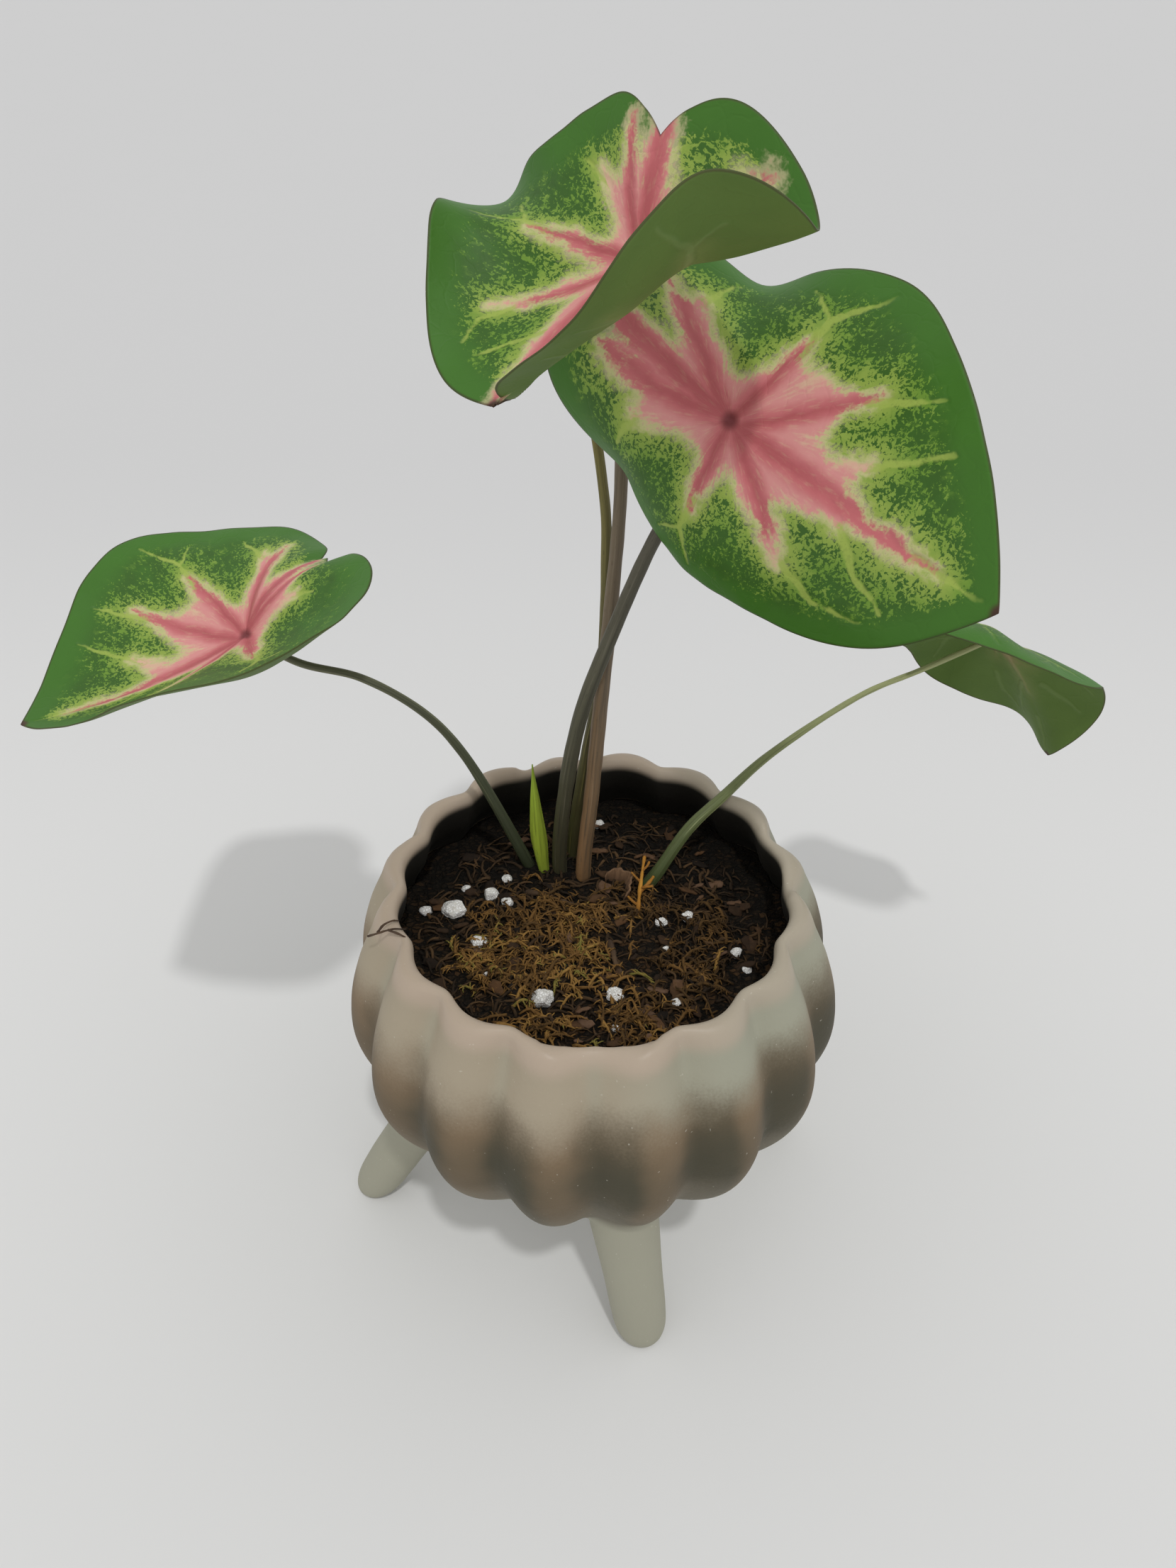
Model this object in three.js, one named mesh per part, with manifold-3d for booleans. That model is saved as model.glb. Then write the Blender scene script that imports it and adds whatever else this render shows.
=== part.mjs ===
// A potted caladium: a lobed ceramic pot on four stubby legs, filled with potting mix. In the mix sits a
// tuber that carries five leaves on long stalks and one rolled new leaf. White grains, twigs, a dry leaf
// sheath and a bright root lie on the mix.
// Lengths are millimetres and angles are degrees. The ground is z = 0, and the pot stands upright on the
// z axis until the whole plant is moved sideways at the end.

import * as THREE from "three";
import { mergeVertices } from "three/addons/utils/BufferGeometryUtils.js";
import Module from "manifold-3d";

const wasm = await Module();
wasm.setup();

const FULL_TURN = 360;

// Clearance between pieces that touch. A hole is cut wider where the facets of its piece are longer.
const GAP = 0.3;
const STALK_GAP = 0.33;
const LITTER_GAP = 0.36;
const TUBER_GAP = 0.45;

// Pot. Each row is the radius at a lobe's crest, the height, and how deep the valleys between lobes are.
const LOBES = 16;
const STEPS_PER_LOBE = 4;
const VALLEY_ROUNDING = 0.25; // 0 would leave the valleys between the lobes sharp
const FIRST_VALLEY = -90;
const POT_HEIGHT = 115;
const POT_OUTSIDE = [
  [6, 34, 0],
  [28, 34.4, 1],
  [42, 38.5, 2.2],
  [52, 46.5, 3.4],
  [59.5, 58, 4.5],
  [63.3, 72, 4.5],
  [62.5, 86, 4.3],
  [59, 99, 4.2],
  [55.2, 108, 4.2],
  [53.4, 112.6, 4],
];
const POT_LIP = [
  [52, POT_HEIGHT - 0.5, 3.2],
  [50.2, POT_HEIGHT, 2.4],
  [48.6, POT_HEIGHT - 0.6, 1.9],
];
const POT_INSIDE = [
  [48, 112.4, 1.9],
  [50.5, 104, 2.7],
  [55, 96, 3.3],
  [58.4, 84, 3.5],
  [59, 72, 3.5],
  [55.5, 59, 3.2],
  [48, 49, 2.6],
  [36, 42, 1.6],
  [6, 39.4, 0],
];
const OUTSIDE_ROWS = 12;
const INSIDE_ROWS = 7;

// Legs, under the crest of every fourth lobe. Each row is the distance from the pot's axis, the height,
// and the half width of the leg there. Each leg leans outward and sideways by its own share of the drop.
const LEGS = [
  { bearing: -78.75, outward: 0.08, sideways: 0.08 },
  { bearing: -168.75, outward: 0.42, sideways: 0 },
  { bearing: 101.25, outward: 0.08, sideways: 0 },
  { bearing: 11.25, outward: 0.08, sideways: 0 },
];
const LEAN_HEIGHT = 24; // a lean turns a leg about this height
const LEG_SIDES = 14;
const LEG_ROWS = [
  [56.4, 0, 3.6],
  [56.3, 1, 5.4],
  [56, 4, 6.7],
  [55, 12, 7.4],
  [53, 24, 7.8],
  [50, 36, 8.6],
  [47, 52, 9.6],
];

// Potting mix
const SOIL_HEIGHT = 96.5;
const SOIL_MOUND = 1.8; // the mix is heaped a little round the stalks
const SOIL_MOUND_SPREAD = 22;
const SOIL_RIM_DROP = 1.6;
const SOIL_WALL_GAP = 0.45;
const SOIL_SEGMENTS = 32;
const SOIL_SURFACE_RINGS = 6;
const SOIL_LAST_RING = 0.08; // the innermost ring, as a share of the outermost
const CLUMPS = [
  { size: 0.7, across: 31, along: 40, shift: 0 },
  { size: 0.5, across: 19, along: -60, shift: 2 },
];

// Tuber, under the mix
const TUBER_CENTRE = new THREE.Vector3(-3, 23, 75);
const TUBER_RADIUS = 15;
const TUBER_FLATNESS = 0.72;
const TUBER_DETAIL = 2;

// Leaf blades. The margin is given as its distance from the stalk, as a share of the blade's length, at
// these angles turned from the tip; the other half mirrors it. 180 is the notch at the back.
const MARGIN_ANGLES = [0, 12, 30, 52, 75, 100, 125, 148, 164, 173, 180];
const MARGIN = [1, 0.89, 0.79, 0.73, 0.71, 0.63, 0.63, 0.62, 0.62, 0.53, 0.45];
const BLADE_THICKNESS = 0.7;
const RAY_STEPS = 24; // steps in which a ray of the blade is followed from the stalk to the margin

// A blade's foot is where its stalk meets it. Its bearing, pitch and roll turn it about the foot. The
// slopes are those of the rays, every eighth of a turn from the tip, at the stalk and at the margin.
// A wave turns the margin up or down round one angle, and a fold rolls one side over along a crease.
const LEAVES = [
  {
    name: "leaf_top",
    foot: [7.8, 17, 255.3],
    bearing: -137.6,
    pitch: 41.7,
    roll: -25.6,
    length: 45,
    width: 1.39,
    margin: [0.826, 0.89, 0.832, 0.774, 0.71, 0.71, 0.6, 0.62, 0.64, 0.56, 0.46],
    stalkSlopes: [23, 22, 36, 35, 29, -30, -15, 8],
    marginSlopes: [-10, 6, 38.4, 37, 24, -22, 10, -30],
    waves: [
      { at: 97.7, spread: 20, turn: -59.3 },
      { at: 47.2, spread: 35.6, turn: 90 },
      { at: 20.3, spread: 14, turn: 8.3 },
    ],
    fold: { side: -1, across: -0.1, ahead: 36.1, splay: 13.1, spread: 47.3, turn: 62.7 },
    rings: 8,
    rays: 52,
    colour: 0x3f7a2c,
  },
  {
    name: "leaf_front",
    foot: [26.4, 17.2, 225.7],
    bearing: -36,
    pitch: 22,
    roll: -45,
    length: 64,
    width: 0.89,
    margin: MARGIN,
    stalkSlopes: [1, -10, -7, -1, 22, 2, 4, 8],
    marginSlopes: [13, -62, -82, -41, 35, -2, -6, 28],
    waves: [
      { at: 134, spread: 24, turn: -56 },
      { at: 243, spread: 18, turn: -56 },
    ],
    rings: 6,
    rays: 48,
    colour: 0x3c7a26,
  },
  {
    name: "leaf_left",
    foot: [-84, 36.4, 163],
    bearing: -146,
    pitch: 16,
    roll: -17,
    length: 55,
    width: 1.25,
    margin: [0.994, 0.881, 0.783, 0.75, 0.723, 0.627, 0.618, 0.655, 0.61, 0.506, 0.524],
    stalkSlopes: [0, 15.4, 33.5, 34.5, 44.3, 0, -11.3, 1.5],
    marginSlopes: [21, 42.9, 22.4, 2.8, -16.3, 10.7, 28.9, 28.2],
    waves: [
      { at: 157, spread: 16, turn: -20 },
      { at: 198, spread: 18, turn: 4.4 },
      { at: 168, spread: 18, turn: -5 },
    ],
    rings: 6,
    rays: 48,
    colour: 0x3f7d2e,
  },
  {
    name: "leaf_right",
    foot: [111.5, 72.7, 138],
    bearing: 6,
    pitch: 38,
    roll: 27,
    length: 46,
    width: 1,
    margin: [0.987, 0.899, 0.806, 0.713, 0.744, 0.63, 0.572, 0.629, 0.619, 0.53, 0.45],
    stalkSlopes: [-2.8, 12, 3.9, 16.5, 3.4, 8.8, 19.4, 9.6],
    marginSlopes: [-50.3, -11.3, -22.6, -50.9, -46.3, -70.8, -66.8, -53],
    waves: [
      { at: 340.6, spread: 18, turn: 36.6 },
      { at: 301.6, spread: 18, turn: -13.2 },
    ],
    rings: 6,
    rays: 48,
    colour: 0x466b3a,
  },
  {
    name: "leaf_back",
    foot: [-16, 60, 231],
    bearing: 115,
    pitch: 12,
    roll: 4,
    length: 30,
    width: 0.95,
    margin: MARGIN,
    stalkSlopes: [0, 5, 8, 5, 8, 5, 8, 5],
    marginSlopes: [-25, -10, -5, -10, -15, -10, -5, -10],
    waves: [{ at: 70, spread: 25, turn: -15 }],
    rings: 4,
    rays: 32,
    colour: 0x3f7a2c,
  },
];

// Leaf stalks, from the tuber up to the foot of each blade, with radii at even steps along each
const STALK_SIDES = 8;
const STALK_STEP = 9.5;
const STALKS = [
  {
    name: "petiole_top",
    leaf: "leaf_top",
    radii: [2, 1.85, 1.5, 1.25],
    route: [
      [-2, 21, 80],
      [-2.6, 20, 100],
      [-0.4, 23.5, 123.7],
      [1.7, 28, 148],
      [4, 34, 172],
      [6.1, 42, 200.5],
      [5, 42, 222],
      [2, 34, 238],
      [-0.5, 24, 246.5],
    ],
    colour: 0x7d6446,
  },
  {
    name: "petiole_front",
    leaf: "leaf_front",
    radii: [2, 1.9, 1.65, 1.35],
    route: [
      [-6, 22, 80],
      [-8.9, 22, 98],
      [-6.6, 21.2, 130],
      [-2.6, 23.6, 150.8],
      [2.4, 26, 165.2],
      [13.7, 30.3, 193.2],
      [19.8, 30.2, 204],
      [24.1, 26, 214.8],
    ],
    colour: 0x4a4f3c,
  },
  {
    name: "petiole_left",
    leaf: "leaf_left",
    radii: [1.8, 1.35, 1, 0.95],
    route: [
      [-13, 27, 82],
      [-17.4, 24.6, 97.5],
      [-33.5, 30, 132],
      [-42.5, 31, 144],
      [-57, 33, 153],
      [-72, 34.5, 156.5],
    ],
    colour: 0x4c5743,
  },
  {
    name: "petiole_right",
    leaf: "leaf_right",
    radii: [2, 1.4, 0.85, 0.8],
    route: [
      [4, 20, 80],
      [15, 17.5, 97.5],
      [25.3, 23.3, 112],
      [34, 29.5, 117.2],
      [47.7, 43.5, 120],
      [75.2, 61.5, 127.2],
      [93, 69.5, 130],
    ],
    colour: 0x5c6b3e,
  },
  {
    name: "petiole_back",
    leaf: "leaf_back",
    radii: [1.9, 1.6, 1.25, 1.1],
    route: [
      [-4, 26, 80],
      [-5.5, 27.5, 97],
      [-1.6, 31, 131],
      [1.9, 36, 149.7],
      [2.9, 40, 176],
      [2.4, 46, 195],
      [-3.6, 54, 220],
    ],
    colour: 0x6b6b3c,
  },
];

// New leaf, still rolled: a spiral section that tapers to a point
const SHOOT_ROUTE = [
  [-9, 18, 82],
  [-13, 21.6, 97],
  [-14.2, 22, 110],
  [-14.8, 22, 122],
  [-15.2, 22, 134.5],
];
const SHOOT_RADII = [0.8, 1.05, 1.85, 1.2, 0.15];
const SHOOT_ROWS = 10;
const SHOOT_SIDES = 12;
const SHOOT_OVERLAP = 0.22; // how far the outer edge of the roll stands out, as a share of the radius

// White grains on the mix: place across, place along, longest size
const GRAINS = [
  [-36, 7.6, 6.6],
  [-27, 13.5, 4.6],
  [-22.2, 9.8, 4],
  [-23, 19, 3.4],
  [-33.6, 16, 3],
  [-43.5, 8, 4],
  [-29, -3.4, 5],
  [-26.6, -13.2, 2.2],
  [-12.4, -21.6, 6.5],
  [5, -20.4, 4.6],
  [5, -30.5, 3],
  [20, -22.6, 3],
  [18.4, -5, 2.4],
  [17.4, 3.4, 3.8],
  [24.4, 5, 4],
  [36, -6.4, 3.8],
  [38.2, -11.6, 3.2],
  [1.8, 41, 3.8],
];
const LARGE_GRAIN = 4.5; // from this size on a grain has more facets
const SMALL_GRAIN_DETAIL = 0;
const LARGE_GRAIN_DETAIL = 1;
const GRAIN_NARROWNESS = 0.85;
const GRAIN_FLATNESS = 0.72;
const GRAIN_ROUGHNESS = 0.24;
const GRAIN_RISE = 0.14; // how far the middle of a grain lies above the mix, as a share of its size
const GRAIN_SEED = 11;
const GRAIN_POCKET = 0.55;

// Litter on the mix: routes across it, with the height above it
const TWIGS = [
  {
    name: "twig_1",
    radius: 0.8,
    route: [
      [-17.6, 13.8, 0.3],
      [-14, 12.4, 0.7],
      [-8, 10, 0.6],
      [-2.4, 7.6, 0.3],
    ],
  },
  {
    name: "twig_2",
    radius: 0.9,
    route: [
      [4, -3, 0.2],
      [5, -7, 0.8],
      [5.6, -11, 0.7],
      [7.2, -15, 0.2],
    ],
  },
  {
    name: "twig_3",
    radius: 0.7,
    route: [
      [10.4, -23.6, 0.3],
      [13.6, -27.4, 0.7],
      [17.4, -30.6, 0.2],
    ],
  },
];
const TWIG_SIDES = 6;
const TWIG_STEP = 3;
const SHEATH = { foot: [4.6, 13], radius: 4.4, facing: 35, bend: 150, depth: 2, height: 4.5, lean: 1.2 };
const SHEATH_ROUNDING = 0.7; // 1 would bring both upper corners down to the mix
const SHEATH_THICKNESS = 0.6;
const SHEATH_STEPS = 8;
const ROOT_ROUTES = [
  [
    [11.4, 5.4, -1],
    [11.9, 9, 3],
    [12.4, 12.4, 5.4],
    [12.9, 16, 6.4],
    [13.6, 20.6, 7],
  ],
  [
    [12.1, 10.2, 4],
    [14.4, 12.4, 5.2],
    [15.8, 15.4, 5],
  ],
];
const ROOT_RADIUS = 0.55;
const ROOT_SIDES = 6;
const ROOT_STEP = 3;

// Colour and roughness of each kind of surface
const GLAZE = { color: 0x8b8370, roughness: 0.72 };
const MIX = { color: 0x2b211a, roughness: 1 };
const TUBER_SKIN = { color: 0x6b5138, roughness: 0.9 };
const NEW_LEAF = { color: 0x9cc43a, roughness: 0.5 };
const DRY_LEAF = { color: 0x7a5a3c, roughness: 0.85 };
const ROOT_SKIN = { color: 0xb98a3a, roughness: 0.7 };
const BARK = { color: 0x4a3527, roughness: 0.9 };
const WHITE_GRAIN = { color: 0xe9e6df, roughness: 0.9 };
const BLADE_ROUGHNESS = 0.5;
const STALK_ROUGHNESS = 0.55;

const UP = new THREE.Vector3(0, 0, 1);
const radians = THREE.MathUtils.degToRad;

// Bodies
function indexed(points, faces) {
  const geometry = new THREE.BufferGeometry().setFromPoints(points);
  geometry.setIndex(faces);
  geometry.computeVertexNormals();
  return geometry;
}

function average(points) {
  const sum = new THREE.Vector3();
  points.forEach((point) => sum.add(point));
  return sum.divideScalar(points.length);
}

// A closed skin over rings of points. Each ring turns counter-clockwise about the way from the first ring
// to the last, and a fan closes each end.
function skin(rings) {
  const count = rings[0].length;
  const points = [...rings.flat(), average(rings[0]), average(rings.at(-1))];
  const firstMiddle = rings.length * count;
  const lastMiddle = firstMiddle + 1;
  const lastRing = firstMiddle - count;
  const faces = [];
  for (let i = 0; i < count; i += 1) {
    const next = (i + 1) % count;
    faces.push(firstMiddle, next, i, lastMiddle, lastRing + i, lastRing + next);
    for (let low = 0; low < lastRing; low += count) {
      const high = low + count;
      faces.push(low + i, low + next, high + next, low + i, high + next, high + i);
    }
  }
  return indexed(points, faces);
}

function solid(geometry) {
  const bare = geometry.clone();
  bare.deleteAttribute("normal");
  bare.deleteAttribute("uv");
  const welded = mergeVertices(bare);
  const vertProperties = new Float32Array(welded.attributes.position.array);
  const triVerts = new Uint32Array(welded.index.array);
  return new wasm.Manifold(new wasm.Mesh({ numProp: 3, vertProperties, triVerts }));
}

function surface(body) {
  const mesh = body.getMesh();
  const geometry = new THREE.BufferGeometry();
  geometry.setAttribute("position", new THREE.BufferAttribute(mesh.vertProperties, 3));
  geometry.setIndex(new THREE.BufferAttribute(mesh.triVerts, 1));
  geometry.computeVertexNormals();
  return geometry;
}

function largest(body) {
  const pieces = body.decompose();
  return pieces.reduce((best, piece) => (piece.volume() > best.volume() ? piece : best));
}

// A round bar along a route. Its radius may change along it, and its section may depart from a circle.
function bar(route, sides, rows, radiusAt, section = () => 1) {
  const curve = new THREE.CatmullRomCurve3(route);
  const frames = curve.computeFrenetFrames(rows, false);
  const rings = frames.tangents.map((tangent, row) => {
    const share = row / rows;
    const centre = curve.getPointAt(share);
    return Array.from({ length: sides }, (unused, i) => {
      const turn = (i / sides) * 2 * Math.PI;
      const reach = radiusAt(share) * section(i / sides);
      const point = centre.clone().addScaledVector(frames.normals[row], reach * Math.cos(turn));
      return point.addScaledVector(frames.binormals[row], reach * Math.sin(turn));
    });
  });
  return solid(skin(rings));
}

// The radius at a share of the way, through radii at even steps along it
function taper(radii, extra) {
  const curve = new THREE.SplineCurve(radii.map((radius, i) => new THREE.Vector2(i, radius)));
  return (share) => curve.getPoint(share).y + extra;
}

const vectors = (rows) => rows.map((row) => new THREE.Vector3(...row));
const rowsFor = (route, step) => Math.ceil(new THREE.CatmullRomCurve3(route).getLength() / step);

// Pot
// How far a place between two valleys swells out: 0 in a valley and 1 on a crest
function fullness(phase) {
  const swell = Math.hypot(Math.sin(Math.PI * phase), VALLEY_ROUNDING) - VALLEY_ROUNDING;
  return swell / (Math.hypot(1, VALLEY_ROUNDING) - VALLEY_ROUNDING);
}

function lobedRing([crest, height, valley], segments, inset = 0) {
  return Array.from({ length: segments }, (unused, i) => {
    const radius = crest - valley * (1 - fullness((i * LOBES) / segments)) - inset;
    const turn = radians(FIRST_VALLEY + (i * FULL_TURN) / segments);
    return new THREE.Vector3(radius * Math.cos(turn), radius * Math.sin(turn), height);
  });
}

function smoothRows(rows, count) {
  const curve = new THREE.CatmullRomCurve3(vectors(rows));
  return curve.getSpacedPoints(count - 1).map((point) => point.toArray());
}

const outsideRows = smoothRows(POT_OUTSIDE, OUTSIDE_ROWS);
const insideRows = smoothRows(POT_INSIDE, INSIDE_ROWS);

function leg(lean) {
  const outward = new THREE.Vector3(1, 0, 0).applyAxisAngle(UP, radians(lean.bearing));
  const sideways = new THREE.Vector3().crossVectors(UP, outward);
  const rings = LEG_ROWS.map(([distance, height, halfWidth]) => {
    const drop = LEAN_HEIGHT - height;
    const centre = outward.clone().multiplyScalar(distance + lean.outward * drop);
    centre.addScaledVector(sideways, lean.sideways * drop).setZ(height);
    return Array.from({ length: LEG_SIDES }, (unused, i) => {
      const turn = (i / LEG_SIDES) * 2 * Math.PI;
      const point = centre.clone().addScaledVector(outward, halfWidth * Math.cos(turn));
      return point.addScaledVector(sideways, halfWidth * Math.sin(turn));
    });
  });
  return solid(skin(rings));
}

function pot() {
  const segments = LOBES * STEPS_PER_LOBE;
  const wall = [...outsideRows, ...POT_LIP, ...insideRows].map((row) => lobedRing(row, segments));
  const inside = insideRows.map((row) => lobedRing(row, segments)).reverse();
  const cavity = solid(skin(inside));
  return LEGS.reduce((body, lean) => body.add(leg(lean).subtract(cavity)), solid(skin(wall)));
}

// Potting mix. Its top rises and falls in clumps, is heaped round the stalks and dips at the wall.
const edgeHeight = SOIL_HEIGHT - SOIL_RIM_DROP;

function edgeRow() {
  const above = insideRows.findLastIndex(([, height]) => height > edgeHeight);
  const upper = new THREE.Vector3(...insideRows[above]);
  const lower = new THREE.Vector3(...insideRows[above + 1]);
  return lower.lerp(upper, (edgeHeight - lower.y) / (upper.y - lower.y)).toArray();
}

function soilHeight(x, y) {
  const inward = 1 - Math.min(1, Math.hypot(x, y) / edgeRow()[0]) ** 4;
  const fromTuber = Math.hypot(x - TUBER_CENTRE.x, y - TUBER_CENTRE.y) / SOIL_MOUND_SPREAD;
  let height = SOIL_RIM_DROP + SOIL_MOUND * Math.exp(-fromTuber * fromTuber);
  for (const { size, across, along, shift } of CLUMPS) {
    const bearing = radians(along);
    const u = (x * Math.cos(bearing) + y * Math.sin(bearing)) / across;
    const v = (y * Math.cos(bearing) - x * Math.sin(bearing)) / across;
    height += size * Math.sin(2 * Math.PI * u + shift) * Math.cos(2 * Math.PI * v);
  }
  return edgeHeight + height * inward;
}

const onSoil = (x, y, rise = 0) => new THREE.Vector3(x, y, soilHeight(x, y) + rise);

function soil() {
  const wall = insideRows.filter(([, height]) => height < edgeHeight).reverse();
  const rings = wall.map(([crest, height, valley]) =>
    lobedRing([crest, height + GAP, valley], SOIL_SEGMENTS, SOIL_WALL_GAP),
  );
  const edge = lobedRing(edgeRow(), SOIL_SEGMENTS, SOIL_WALL_GAP);
  rings.push(edge);
  for (let k = 1; k <= SOIL_SURFACE_RINGS; k += 1) {
    const share = THREE.MathUtils.lerp(1, SOIL_LAST_RING, k / SOIL_SURFACE_RINGS);
    rings.push(edge.map((point) => onSoil(point.x * share, point.y * share)));
  }
  return solid(skin(rings));
}

function tuber(extra = 0) {
  const geometry = new THREE.IcosahedronGeometry(1, TUBER_DETAIL);
  const reach = TUBER_RADIUS + extra;
  geometry.scale(reach, reach, TUBER_RADIUS * TUBER_FLATNESS + extra);
  geometry.translate(...TUBER_CENTRE.toArray());
  return solid(geometry);
}

// Leaf blades
function placement({ foot, bearing, pitch, roll }) {
  const [turn, dip, tilt] = [bearing, pitch, roll].map(radians);
  const level = new THREE.Vector3(Math.sin(turn), -Math.cos(turn), 0);
  const ahead = new THREE.Vector3(-level.y, level.x, 0).multiplyScalar(Math.cos(dip)).setZ(-Math.sin(dip));
  const right = level.clone().multiplyScalar(Math.cos(tilt));
  right.addScaledVector(level.clone().cross(ahead), Math.sin(tilt));
  const above = right.clone().cross(ahead);
  return new THREE.Matrix4().makeBasis(right, ahead, above).setPosition(...foot);
}

// Rolls what lies beyond the crease about a cone whose point is where the crease starts
function folded(point, { side, across, ahead, splay, spread, turn }) {
  const start = new THREE.Vector3(side * across, ahead, 0);
  const crease = new THREE.Vector3(side * Math.sin(radians(splay)), -Math.cos(radians(splay)), 0);
  const outward = new THREE.Vector3(side * Math.cos(radians(splay)), Math.sin(radians(splay)), 0);
  const tilt = Math.atan2(radians(spread), radians(turn));
  const axis = crease.clone().multiplyScalar(Math.cos(tilt)).addScaledVector(UP, Math.sin(tilt));
  const from = point.clone().sub(start);
  const distance = Math.hypot(from.x, from.y);
  const bearing = Math.atan2(from.dot(outward), from.dot(crease));
  const ease = THREE.MathUtils.smoothstep(Math.PI - bearing, 0, Math.PI / 2);
  const rolled = THREE.MathUtils.clamp(bearing, 0, radians(spread)) * ease;
  const rest = bearing - rolled;
  const result = crease.multiplyScalar(distance * Math.cos(rest));
  result.addScaledVector(outward, distance * Math.sin(rest)).addScaledVector(UP, from.z);
  return result.applyAxisAngle(axis.multiplyScalar(side), rolled / Math.sin(tilt)).add(start);
}

function slopeCurve(slopes) {
  return new THREE.CatmullRomCurve3(vectors(slopes.map((slope) => [slope, 0, 0])), true, "catmullrom", 0.5);
}

// The points of one ray, from the stalk to the margin, with the blade lying along its own axes
function ray(leaf, degrees, reach) {
  const way = new THREE.Vector2(leaf.width * Math.sin(radians(degrees)), Math.cos(radians(degrees)));
  const step = (reach * leaf.length * way.length()) / RAY_STEPS;
  way.normalize();
  const atStalk = slopeCurve(leaf.stalkSlopes).getPoint(degrees / FULL_TURN).x;
  const atMargin = slopeCurve(leaf.marginSlopes).getPoint(degrees / FULL_TURN).x;
  const waved = leaf.waves.reduce((sum, { at, spread, turn }) => {
    const off = THREE.MathUtils.euclideanModulo(degrees - at + FULL_TURN / 2, FULL_TURN) - FULL_TURN / 2;
    return sum + turn * Math.exp(-((off / spread) ** 2));
  }, 0);
  const points = [new THREE.Vector3()];
  for (let k = 0; k < RAY_STEPS; k += 1) {
    const share = (k + 0.5) / RAY_STEPS;
    const slope = radians(THREE.MathUtils.lerp(atStalk, atMargin, share) + waved * share * share);
    const along = step * Math.cos(slope);
    const move = new THREE.Vector3(way.x * along, way.y * along, step * Math.sin(slope));
    points.push(move.add(points.at(-1)));
  }
  return points;
}

// The middle surface of a blade: its foot first, then one ring of points after another
function bladePoints(leaf) {
  const guides = MARGIN_ANGLES.map((angle, i) => new THREE.Vector2(angle, leaf.margin[i]));
  const half = new THREE.SplineCurve(guides);
  const place = placement(leaf);
  const stride = RAY_STEPS / leaf.rings;
  const rays = Array.from({ length: leaf.rays }, (unused, i) => {
    const share = (2 * i) / leaf.rays;
    const { x, y } = half.getPoint(share <= 1 ? share : 2 - share);
    return ray(leaf, share <= 1 ? x : FULL_TURN - x, y);
  });
  const points = [new THREE.Vector3()];
  for (let ring = 1; ring <= leaf.rings; ring += 1) {
    points.push(...rays.map((line) => line[ring * stride]));
  }
  return points.map((point) => (leaf.fold ? folded(point, leaf.fold) : point).applyMatrix4(place));
}

function blade(leaf, thickness = BLADE_THICKNESS) {
  const points = bladePoints(leaf);
  const count = leaf.rays;
  const upper = [];
  for (let i = 0; i < count; i += 1) {
    const next = (i + 1) % count;
    upper.push(0, 1 + next, 1 + i);
    for (let low = 1; low + 2 * count <= points.length; low += count) {
      const high = low + count;
      upper.push(low + i, low + next, high + next, low + i, high + next, high + i);
    }
  }
  const { normal } = indexed(points, upper).attributes;
  const normals = points.map((point, i) => new THREE.Vector3().fromBufferAttribute(normal, i));
  const shifted = (amount) => points.map((point, i) => point.clone().addScaledVector(normals[i], amount));
  const lower = upper.map((index) => index + points.length);
  for (let i = 0; i < lower.length; i += 3) {
    [lower[i + 1], lower[i + 2]] = [lower[i + 2], lower[i + 1]];
  }
  const edge = [];
  const margin = points.length - count;
  for (let i = 0; i < count; i += 1) {
    const [here, next] = [margin + i, margin + ((i + 1) % count)];
    edge.push(here, next, next + points.length, here, next + points.length, here + points.length);
  }
  const both = [...shifted(thickness / 2), ...shifted(-thickness / 2)];
  return solid(indexed(both, [...upper, ...lower, ...edge]));
}

// Stalks, the rolled leaf and the litter; extra makes the hole for each
function stalk({ leaf, route, radii }, extra = 0) {
  const { foot } = LEAVES.find(({ name }) => name === leaf);
  const way = vectors([...route, foot]);
  return bar(way, STALK_SIDES, rowsFor(way, STALK_STEP), taper(radii, extra));
}

function shoot(extra = 0) {
  const rolled = (around) => 1 + SHOOT_OVERLAP * around;
  return bar(vectors(SHOOT_ROUTE), SHOOT_SIDES, SHOOT_ROWS, taper(SHOOT_RADII, extra), rolled);
}

function laid(route, radius, sides, step) {
  const way = route.map(([x, y, rise]) => onSoil(x, y, rise));
  return bar(way, sides, rowsFor(way, step), () => radius);
}

const twig = ({ route, radius }, extra = 0) => laid(route, radius + extra, TWIG_SIDES, TWIG_STEP);

function root(extra = 0) {
  const [main, fork] = ROOT_ROUTES.map((route) => laid(route, ROOT_RADIUS + extra, ROOT_SIDES, ROOT_STEP));
  return main.add(fork);
}

// A dry sheath: a bent strip that stands in the mix and leans outward
function sheath(extra = 0) {
  const foot = onSoil(...SHEATH.foot);
  const corner = (turn, offset, rise) => {
    const reach = SHEATH.radius + offset + (rise > 0 ? SHEATH.lean : 0);
    return foot.clone().add(new THREE.Vector3(reach * Math.cos(turn), reach * Math.sin(turn), rise));
  };
  const half = SHEATH_THICKNESS / 2 + extra;
  const end = extra / SHEATH.radius;
  const rings = Array.from({ length: SHEATH_STEPS + 1 }, (unused, i) => {
    const share = i / SHEATH_STEPS - 0.5;
    const turn = radians(SHEATH.facing + SHEATH.bend * share) + 2 * end * share;
    const top = SHEATH.height * Math.cos(Math.PI * share * SHEATH_ROUNDING) + extra;
    const low = -SHEATH.depth - extra;
    const upper = [corner(turn, -half, top), corner(turn, half, top)];
    return [...upper, corner(turn, half, low), corner(turn, -half, low)];
  });
  return solid(skin(rings));
}

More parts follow.
